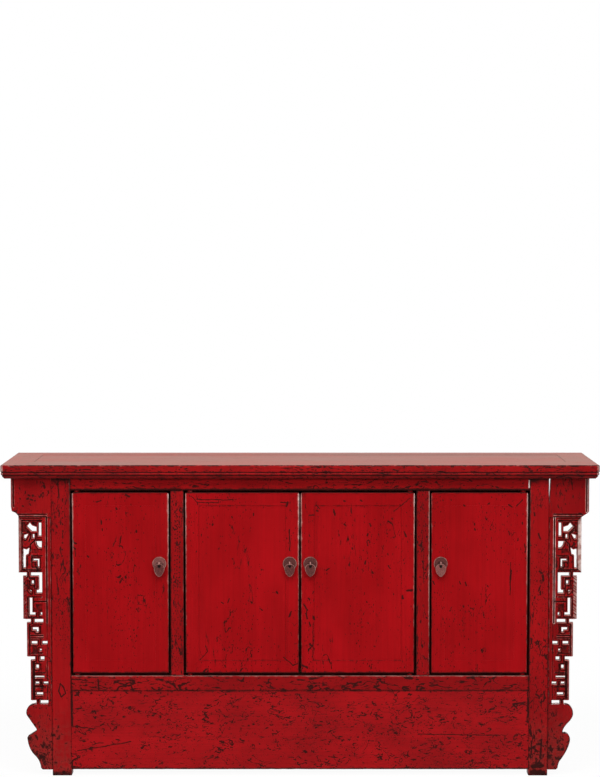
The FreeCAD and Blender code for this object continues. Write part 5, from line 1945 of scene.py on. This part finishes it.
    def fret(self) -> Carving:
        """Pierced fret with bevelled tiers, borders and square scrolls cut into its face.

        Returns:
            The board and its cuts.
        """
        low = self.base + self.foot_height
        outline = [(0, self.head), (0, low)]
        rings, grooves, recesses, bevels = [], [], [], []
        for tier, (foot, start) in enumerate(self.tier_bases()):
            reach, neck = self.tier_reaches[tier], self.neck_outer[tier]
            top = start + self.tier_heights[tier]
            outline += [(neck, foot), (neck, start), (reach, start), (reach, top)]
            run = self.worn_run if tier == 3 and self.side is Side.RIGHT else self.bevel_runs[tier]
            bevels.append(Bevel(((reach, start), (reach, top)), run, self.bevel_falls[tier],
                                *self.BEVEL_WEAR_AND_SHEEN[self.side][tier], self.bevel_notches[tier], tier == 3))
            slots = [(a, b, start + c, start + d) for a, b, c, d in self.SLOTS[tier]]
            slots.append((self.neck_starts[tier], self.neck_inner[tier], foot, start))
            rings += [((a, c), (b, c), (b, d), (a, d)) for a, b, c, d in slots]
            rings += [tuple((out, start + up) for out, up in shape) for shape in self.SHAPES[tier]]
            grooves += [Groove(tuple((out, start + up) for out, up in line)) for line in self.LINES[tier]]
            recesses += [Recess((a, start + b), (c, start + d), sink) for a, b, c, d, sink in self.SUNK[tier]]
        upper = self.tier_bases()[2][0]
        # shine is pale rubbing with painted highlight on the margin groove's shoulders, stronger on the right
        # wing.
        margin, shine = (self.margin, 0.85) if self.side is Side.LEFT else (self.worn_margin, 1.45)
        grooves += [Groove(((margin, upper), (margin, self.head)), 1.9, 3, 1.3, shine),
                    Groove(((self.margin, low), (self.margin, upper)), 1.5, 1.6, 0.6),
                    self.post_joint(low, self.head, 0.7)]
        return Carving((tuple(outline), *rings), self.front + self.fret_sink, self.back, 1.2,
                       ((0, self.head),) * 2, cuts=(*grooves, *recesses), bevels=tuple(bevels), hem=4.4,
                       hem_from=27, rim=(1, 0.35, 0), pierced_round=True)

    @staticmethod
    def post_joint(low: float, high: float, rub: float) -> Groove:
        """Open joint along the post, where dirt collects."""
        return Groove(((0.6, low), (0.6, high)), 1.5, 1, 0.8, rub)

    def block(self) -> Carving:
        """Plain block with a bead down its outer edge and two lines at its foot; the right one has a slit.

        Returns:
            The board and its cuts.
        """
        top, foot = self.underside, self.head
        corners = self.BLOCK_CORNERS[self.side]
        edge = ((self.reach, top), *((self.reach - back, foot + up) for back, up in corners))
        inner = ((0, foot), (0, top))
        if self.side is Side.RIGHT:
            inner = ((0, foot), *self.BLOCK_SLIT)
        bead = tuple((out - self.bead_inset, up) for out, up in edge[:2])
        # shine is a painted highlight along the bead, stronger on the right wing.
        shine = 1.1 if self.side is Side.LEFT else 1.7
        upper, lower = self.BLOCK_LINES
        lines = (Groove(bead, 1.8, 3.2, 1.4, shine), Groove(upper, 1.9, 2.6), Groove(lower, 2, 3))
        return Carving(((*inner, *edge),), self.front, self.back, 1.7, edge, 4, lines, rim=(0.5, 0.5, 0.45))

    def foot(self) -> Carving:
        """Scrolled foot: two lobes with a notch between, drawn as smooth arcs through three points each.

        Returns:
            The board and its cuts.
        """
        share = np.linspace(0, 1, 9)[:, None]
        curves = []
        for first, middle, last in np.array(self.FOOT_ARCS[self.side]):
            pull = 2 * middle - (first + last) / 2
            curves.append((1 - share) ** 2 * first + 2 * share * (1 - share) * pull + share ** 2 * last)
        end = curves[-1][-1]
        toe = end - (4, end[1])
        outline = tuple(map(tuple, np.concatenate([*curves, [toe]]) + (0, self.base)))
        head = self.base + self.foot_height
        ring = ((0, head), *outline, (0, self.base))
        joint = self.post_joint(self.base, head, 0)
        return Carving((ring,), self.front, self.back, 2, outline, 3.5, (joint,), rim=(0.2, 0.75, 0.75))

    def build(self, finishes: Finishes) -> None:
        """Make and dress the three pieces of the wing.

        Args:
            finishes: Materials.
        """
        for part, carving in (("wing_block", self.block()), ("wing_fret", self.fret()),
                              ("wing_foot", self.foot())):
            patch = carving.patch(self.post_face).on(self.side)
            make_piece(Craft.CARVED, self.side.value + "_" + part, [patch], finishes.carving)


@dataclass
class Door:
    """Framed door with its pivot pins and its pull; sizes are those of a left-hand door."""

    side: Side
    leaf: Leaf
    hinge: float
    width: float
    sink: float
    joint: float
    joint_grime: float
    stile_rub_and_sheen: Pair
    seed: int
    face: float = -180.0
    thickness: float = 22.0
    foot: float = 304.0
    height: float = 541.0
    member: float = 40.0
    edge_radius: float = 4.0
    corner_radius: float = 9.0
    pivot_inset: float = 14.0
    pivot_radius: float = 7.0
    head_pin: float = 18.0
    foot_pin: float = 12.0
    pull_inset: float = 28.5
    pull_height: float = 633.0
    upright_joint: float = 0.6
    panel_depth: float = 18.0

    @property
    def stem(self) -> str:
        """Start of the node names of this door."""
        return self.side.value + "_" + self.leaf.value + "_"

    def framing(self, origin: Triple, along: Array, across: Array, length: float, seed: int, rub: float,
                grime_and_shade: float) -> Patch:
        """One mitred frame member; a stile's outer edge carries the most painted highlight at its head and
        the most painted shade at its foot.

        Args:
            origin: Outer front corner where it starts.
            along: Direction of its run.
            across: Direction in from its outer edge.
            length: Length of its outer edge.
            seed: Seed of its unevenness.
            rub: Pale rubbing and painted highlight of its outer front edge.
            grime_and_shade: Grimy darkening and painted shade of that edge.

        Returns:
            The closed surface.
        """
        upright = along is Z_AXIS
        hand = Handwork(0.35, 0.8, self.joint_grime * 0.7, seed, corner=self.corner_radius)
        if upright:
            # Stiles: painted highlight fading towards the foot, painted shade fading towards the head.
            hand = replace(hand, rub_and_sheen_fade=(0.55, 1.3), chip_fade=(1.3, 0.6), grime_and_shade_fade=(1, 0.3))
        joint_grime = self.joint_grime * self.upright_joint if upright else self.joint_grime
        edges = (Edge(self.edge_radius, rub, 0.4, grime_and_shade), Edge(self.joint, 0, 0, joint_grime), Edge(),
                 Edge(1, 0, 0.2, 0.6))
        section = section_from(rectangle(self.member, self.thickness), edges, 20)
        # The outer side faces the gap and is painted dark as shade.
        section = section.with_dark_side(0, self.edge_radius)
        return carried(section, Axes(origin, along, across, Y_AXIS), length, (self.member, self.member),
                       self.member, hand, 10)

    def pin(self, up: float, length: float) -> Patch:
        """Turned pivot pin, eased at its free end; a negative length points down.

        Args:
            up: Height that it starts from.
            length: Its length.

        Returns:
            The closed surface.
        """
        run = abs(length)
        radius = self.pivot_radius
        profile = np.array(((radius, -3), (radius, 0), (radius, run - 1), (radius - 1, run)))
        centre = (self.hinge + self.pivot_inset, self.face + self.thickness / 2, up)
        return turned(profile, centre, Z_AXIS * math.copysign(1, length), 24, 0.4)

    def panel(self) -> Patch:
        """Panel within the frame, a hair below its face.

        Returns:
            The closed surface.
        """
        inset = self.member + self.joint
        edge = Edge(self.joint, 0, 0, self.joint_grime * self.upright_joint)
        low = (self.hinge + inset, self.face + self.sink, self.foot + inset)
        high = (self.hinge + self.width - inset, self.face + self.panel_depth,
                self.foot + self.height - inset)
        hand = Handwork(0.3, 0, self.joint_grime, self.seed + 5)
        return Timber(low, high, Grain.ALONG_Z, (edge, edge, Edge(), Edge()), hand, 30).patch()

    def build(self, finishes: Finishes) -> None:
        """Make and dress the frame, the panel and the pull.

        Args:
            finishes: Materials.
        """
        left, face, low, seed = self.hinge, self.face, self.foot, self.seed
        right, top = left + self.width, low + self.height
        hinge_rub_and_sheen, lock_rub_and_sheen = self.stile_rub_and_sheen
        # Outer edges: pale rubbing with painted highlight, and painted shade in the gaps, darkest under the
        # door's foot.
        hinge_stile = self.framing((left, face, low), Z_AXIS, X_AXIS, self.height, seed, hinge_rub_and_sheen, 1)
        lock_stile = self.framing((right, face, low), Z_AXIS, -X_AXIS, self.height, seed + 1, lock_rub_and_sheen, 1)
        foot_rail = self.framing((left, face, low), X_AXIS, Z_AXIS, self.width, seed + 2, 0.1, 1.6)
        head_rail = self.framing((left, face, top), X_AXIS, -Z_AXIS, self.width, seed + 3, 0.4, 0.9)
        pieces = {"hinge_stile": [hinge_stile, self.pin(top, self.head_pin), self.pin(low, -self.foot_pin)],
                  "lock_stile": [lock_stile], "rails": [foot_rail, head_rail], "panel": [self.panel()]}
        for part, patches in pieces.items():
            make_piece(Craft.LACQUERED, self.stem + part, [patch.on(self.side) for patch in patches],
                       finishes.doors[self.stem], self.stem + "door")
        Pull(self.side, self.stem, right - self.pull_inset, face, self.pull_height).build(finishes)


@dataclass
class Pull:
    """Round plate, split pin with a ring eye, and an egg-shaped drop that hangs in the eye."""

    side: Side
    stem: str
    x: float
    face: float
    z: float
    plate_radius: float = 20.5
    plate_thickness: float = 1.2
    plate_steps: int = 48
    rim_radius: float = 1.1
    boss_radius: float = 7.0
    boss_rise: float = 1.2
    hole_radius: float = 2.7
    shaded_radius: float = 12.5
    eye_standoff: float = 8.7
    eye_radius: float = 5.1
    eye_steps: Pair = (36, 14)
    wire_radius: float = 1.6
    shank_radius: float = 2.4
    door_thickness: float = 22.0
    leg_length: float = 13.0
    leg_thickness: float = 1.6
    pivot_fall: float = 1.2149
    drop_steps: int = 56
    drop_thickness: float = 2.6
    half_width: float = 15.5
    upper_height: float = 13.6
    lower_height: float = 25.0
    point: float = 0.4
    bridge_height: float = 3.0
    hole_half_width: float = 3.0
    hole_height: float = 8.0
    rim_width: float = 2.0
    rim_rise: float = 0.5
    worn_parts: tuple[str, ...] = ("left_outer_pull_plate", "right_outer_drop")

    def plate(self) -> Patch:
        """Plate turned about the pin: plain field between a round rim and a low boss, closed round its hole.

        A point is (x + r.cos t, face - h, z + r.sin t) for each radius r and height h of the profile.

        Returns:
            The closed surface.
        """
        turn = np.linspace(0, math.pi, 7)
        rim_middle = self.plate_radius - self.rim_radius
        rim = np.stack([rim_middle + self.rim_radius * np.cos(turn),
                        self.plate_thickness + self.rim_radius * np.sin(turn)], axis=1)
        inner = np.linspace(rim_middle - self.rim_radius - 1, self.boss_radius + 1, 6)
        field = np.stack([inner, np.full(6, self.plate_thickness)], axis=1)
        share = np.linspace(0, 1, 5)
        boss = np.stack([self.boss_radius + (self.hole_radius - self.boss_radius) * share,
                         self.plate_thickness + self.boss_rise * np.sin(share * math.pi / 2)], axis=1)
        back = np.array(((self.hole_radius, 0), (self.plate_radius, 0)))
        radius, rise = np.concatenate([rim, field, boss, back]).T
        around = np.linspace(0, FULL_TURN, self.plate_steps, endpoint=False)[:, None]
        points = np.stack(np.broadcast_arrays(self.x + radius * np.cos(around), self.face - rise,
                                              self.z + radius * np.sin(around)), axis=-1)
        # Rim painted pale as rubbing and highlight; painted shade below the boss, seen through the drop's
        # hole.
        rub = np.concatenate([np.sin(turn) * 0.78, np.full(6, 0.2), np.full(5, 0.15), np.zeros(2)])
        grime_and_shade = np.concatenate([np.zeros(7), (0.35, 0, 0, 0, 0.2, 0.5), np.full(5, 0.45), np.zeros(2)])
        shaded = np.clip(-1.5 * np.sin(around), 0, 1) * np.where(radius < self.shaded_radius, 1.3, 0)
        return looped(points, rub, np.maximum(grime_and_shade, shaded))

    def pin(self) -> list[Patch]:
        """Ring eye as a torus across the door, shank through the door, and two legs turned over behind.

        Returns:
            Surfaces of the eye, the shank and the legs.
        """
        around, wire = [np.linspace(0, FULL_TURN, count, endpoint=False) for count in self.eye_steps]
        around = around[:, None]
        reach = self.eye_radius + self.wire_radius * np.cos(wire)
        centre_y = self.face - self.eye_standoff
        ring = np.stack(np.broadcast_arrays(self.x + self.wire_radius * np.sin(wire),
                                            centre_y + reach * np.cos(around),
                                            self.z + reach * np.sin(around)), axis=-1)
        # Upper half of the eye painted as highlight, lower half painted dark as shade.
        rise = np.sin(around)
        eye = looped(ring, np.clip(1 + 0.6 * rise, 0, 1.1), np.clip(0.1 - 1.6 * rise, 0, 1.2))
        start = centre_y + self.eye_radius
        end = self.face + self.door_thickness
        profile = np.array(((self.shank_radius, 0), (self.shank_radius, end - start + 0.8)))
        shank = turned(profile, (self.x, start, self.z), Y_AXIS, 20, 0.3)
        section = section_from(rectangle(2 * self.shank_radius, self.leg_thickness), (Edge(0.4, 0.4),) * 4, 3)
        foot = (self.x - self.shank_radius, end, self.z - self.leg_length)
        return [eye, shank, carried(section, Axes(foot, Z_AXIS, X_AXIS, Y_AXIS), 2 * self.leg_length)]

    def drop(self) -> Patch:
        """Egg with a raised rim, looped round its hole.

        At angle t the edge is (w.cos t, centre + h.sin t) with one height above the centre and one below,
        narrowed below by |cos t| ^ point, and the hole (a.cos t, c + b.sin t) is narrowed in the same way.
        The loop runs from the hole out over the front, round the edge, and back behind.

        Returns:
            Closed surface of the drop, hanging from the eye.
        """
        turn = np.linspace(0, FULL_TURN, self.drop_steps, endpoint=False)
        up = np.sin(turn)
        taper = np.where(up > 0, 1, np.abs(np.cos(turn)) ** self.point)
        centre = self.bridge_height / 2 - self.upper_height
        edge = np.stack([self.half_width * np.cos(turn) * taper,
                         centre + np.where(up > 0, self.upper_height, self.lower_height) * up], axis=1)
        middle = -(self.bridge_height + self.hole_height) / 2
        hole = np.stack([self.hole_half_width * np.cos(turn) * taper,
                         middle + self.hole_height / 2 * up], axis=1)
        span = np.linalg.norm(edge - hole, axis=1)[:, None]
        half = self.drop_thickness / 2
        field = half - self.rim_rise
        insets = np.array((0, 0, 0.25, 1, self.rim_width * 0.8, self.rim_width))
        shares = 1 - np.minimum(insets / span, 0.5)
        inner = np.minimum(np.array((0, 0.8, 1.6)) / span, (0, 0.2, 0.4))
        spread = inner[:, -1:] + (shares[:, -1:] - inner[:, -1:]) * np.array((0.25, 0.5, 0.75))
        over = np.concatenate([inner, spread, shares[:, ::-1]], axis=1)
        rise = np.array((half - 0.5, half - 0.1, half - 0.2, field, field, field,
                         field, half - 0.15, half, half - 0.12, half - 0.4, half - 0.7))
        loop = np.concatenate([over, over[:, ::-1]], axis=1)
        depth = np.concatenate([rise, -np.minimum(rise, half - 0.2)[::-1]])
        flat = hole[:, None, :] + loop[..., None] * (edge - hole)[:, None, :]
        points = np.stack(np.broadcast_arrays(self.x + flat[..., 0], self.face - self.eye_standoff - depth,
                                              self.z - self.pivot_fall + flat[..., 1]), axis=-1)
        # Rim rubbed pale with painted highlight, brighter on the upper arcs; painted shade round the hole.
        rub = np.array((0, 0, 0.1, 0.12, 0.12, 0.12, 0.3, 0.55, 0.82, 0.72, 0.45, 0.3))
        grime_and_shade = np.array((1.3, 1.1, 0.5, 0, 0, 0, 0.25, 0, 0, 0, 0, 0))
        return looped(points, (1 + 0.3 * up)[:, None] * np.concatenate([rub, rub[::-1]]),
                      np.concatenate([grime_and_shade, grime_and_shade[::-1]]))

    def build(self, finishes: Finishes) -> None:
        """Make and dress the plate, the pin and the drop.

        Args:
            finishes: Materials.
        """
        for part, patches, body in (("pull_plate", [self.plate()], "door"), ("pull_pin", self.pin(), "door"),
                                    ("drop", [self.drop()], "drop")):
            node = self.stem + part
            material = finishes.worn_pull if node in self.worn_parts else finishes.pull
            make_piece(Craft.METAL, node, [patch.on(self.side) for patch in patches], material,
                       self.stem + body)


@dataclass
class InnerTimber:
    """Plain boards and bars inside, which keep their CAD solids and take a wood finish."""

    long_nodes: tuple[str, ...] = ("floor_boards", "shelf_boards")
    cross_nodes: tuple[str, ...] = ("cross_bearers", "top_braces")

    def build(self, finishes: Finishes) -> None:
        """Give each inner node its wood finish.

        Args:
            finishes: Materials.
        """
        for nodes, material in ((self.long_nodes, finishes.plank_x), (self.cross_nodes, finishes.plank_y)):
            for node in nodes:
                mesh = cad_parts[node].data
                mesh.materials.clear()
                mesh.materials.append(material)
                LOG.info("%s: plain wood", node)


# Studio

@dataclass
class Studio:
    """Plain pale floor, soft lamps on both sides, above and behind, and the camera; lengths in metres."""

    camera_place: Triple = (0.0, -6.8275, 1.5516)
    pitch: float = 3.443
    lens: float = 104.84
    clip: float = 200.0
    ambient: float = 0.27
    front_gloss: float = 0.03
    gloss_turn: Pair = (-0.2, 0.3)
    side_power: float = 50.0
    head_power: float = 125.0
    back_power: float = 65.0
    floor_half: Pair = (9.0, 6.0)
    floor_back: float = 3.9
    floor_steps: int = 25
    floor_fade: Pair = (1.0, 2.4)
    floor_white: float = 0.95
    floor_tint: Tint = (0.5, 0.5, 0.5, 1.0)
    back_tint: Tint = (1.0, 0.93, 0.81, 1.0)
    white: Tint = (1.0, 1.0, 1.0, 1.0)

    @staticmethod
    def place(name: str, data: bpy.types.ID) -> bpy.types.Object:
        """New object of the scene.

        Args:
            name: Name of the object.
            data: Its camera, lamp or mesh.

        Returns:
            The object.
        """
        made = bpy.data.objects.new(name, data)
        bpy.context.scene.collection.objects.link(made)
        return made

    def camera(self) -> None:
        """Camera at the viewing angle of the picture."""
        data = bpy.data.cameras.new("camera")
        data.lens = self.lens
        data.clip_end = self.clip
        made = self.place("camera", data)
        made.location = self.camera_place
        made.rotation_euler = (math.radians(90 - self.pitch), 0, 0)
        bpy.context.scene.camera = made

    def lamp(self, name: str, place: Triple, target: Triple, size: Pair, power: float) -> None:
        """Rectangular soft lamp aimed at a point.

        Args:
            name: Name of the lamp.
            place: Where it stands.
            target: Point that it faces.
            size: Its width and height.
            power: Its power in watts.
        """
        data = bpy.data.lights.new(name, "AREA")
        data.shape = "RECTANGLE"
        data.size, data.size_y = size
        data.energy = power
        made = self.place(name, data)
        x, y, z = np.array(place) - np.array(target)
        made.location = place
        made.visible_camera = False
        made.rotation_euler = (math.atan2(math.hypot(x, y), z), 0, math.atan2(y, x) + math.pi / 2)

    def floor(self) -> None:
        """Wide pale floor, a flat grid that is white where it is only seen, a little less near the object."""
        steps = np.linspace(-1, 1, self.floor_steps)
        wide, deep = self.floor_half
        x, y = np.meshgrid(steps * wide, steps * deep + self.floor_back, indexing="ij")
        points = np.stack([x, y, np.zeros_like(x)], axis=-1).reshape(-1, 3)
        index = np.arange(points.shape[0]).reshape(x.shape)
        quads = np.stack([index[:-1, :-1], index[1:, :-1], index[1:, 1:], index[:-1, 1:]], axis=-1)
        mesh = bpy.data.meshes.new("floor")
        mesh.from_pydata(points.tolist(), [], quads.reshape(-1, 4).tolist())
        material = bpy.data.materials.new("floor")
        material.use_nodes = True
        material.node_tree.nodes.clear()
        g = Graph(material.node_tree)
        path = g.node("ShaderNodeLightPath").outputs
        seen = g.largest(path["Is Camera Ray"], path["Is Glossy Ray"], path["Is Transmission Ray"])
        tint = g.blend(seen, self.floor_tint, self.white)
        lit = g.node("ShaderNodeBsdfDiffuse", {"Color": tint}).outputs[0]
        glow = g.node("ShaderNodeEmission", {"Strength": 1}).outputs[0]
        place = g.node("ShaderNodeTexCoord").outputs["Object"]
        away = g.node("ShaderNodeVectorMath", {0: place}, operation="LENGTH").outputs["Value"]
        far = g.scaled(g.step(away, *self.floor_fade), 1 - self.floor_white, self.floor_white)
        mixed = g.node("ShaderNodeMixShader", {0: g.times(seen, far), 1: lit, 2: glow}).outputs[0]
        g.node("ShaderNodeOutputMaterial", {"Surface": mixed})
        mesh.materials.append(material)
        self.place("floor", mesh)

    def world(self) -> None:
        """White where it is seen behind the object, dim in front, and an even soft light elsewhere."""
        world = bpy.data.worlds.new("studio")
        bpy.context.scene.world = world
        world.use_nodes = True
        world.node_tree.nodes.clear()
        g = Graph(world.node_tree)
        path = g.node("ShaderNodeLightPath").outputs
        heading = g.node("ShaderNodeTexCoord").outputs["Generated"]
        behind = g.step(g.parts(heading)[1], *self.gloss_turn)
        mirror = g.largest(path["Is Glossy Ray"], path["Is Transmission Ray"])
        gloss = g.scaled(behind, 1 - self.front_gloss, self.front_gloss)
        unseen = g.node("ShaderNodeMix", {0: mirror, 2: self.ambient, 3: gloss}).outputs[0]
        shade = g.node("ShaderNodeBackground", {"Color": g.blend(mirror, self.white, self.back_tint),
                                                "Strength": g.largest(path["Is Camera Ray"], unseen)})
        g.node("ShaderNodeOutputWorld", {"Surface": shade.outputs[0]})

    def build(self) -> None:
        """Set up the camera, the light and the floor."""
        self.camera()
        self.floor()
        self.world()
        aim = (0, -0.1, 0.5)
        self.lamp("left_lamp", (-3.2, -3.4, 1.9), aim, (1.2, 1.8), self.side_power)
        self.lamp("right_lamp", (3.2, -3.4, 1.9), aim, (1.2, 1.8), self.side_power)
        self.lamp("head_lamp", (0, -1.95, 3.6), (0, -0.15, 0.55), (4.5, 1.2), self.head_power)
        self.lamp("back_lamp", (0, 3.4, 0.48), (0, 0.2, 0.48), (4, 0.8), self.back_power)
        bpy.context.scene.view_settings.view_transform = "Standard"


def main() -> None:
    """Build every sub-assembly in order."""
    logging.basicConfig(level=logging.INFO, format="%(name)s %(message)s")
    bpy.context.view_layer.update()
    finishes = Finishes()
    TopFrame().build(finishes)
    Carcase().build(finishes)
    for side in Side:
        Wing(side).build(finishes)
    # Pale rubbing with painted highlight on each door's hinge and lock stiles.
    for side, outer_rub_and_sheen, inner_rub_and_sheen, seed in ((Side.LEFT, (1.5, 1.7), (1.5, 1.7), 61),
                                             (Side.RIGHT, (1.7, 0.95), (1.7, 1.4), 101)):
        Door(side, Leaf.OUTER, -674, 286.5, 0.05, 0.1, 0.06, outer_rub_and_sheen, seed).build(finishes)
        Door(side, Leaf.INNER, -339.5, 337.5, 0.5, 0.35, 0.5, inner_rub_and_sheen, seed + 20).build(finishes)
    InnerTimber().build(finishes)
    Studio().build()


if __name__ == "__main__":
    main()
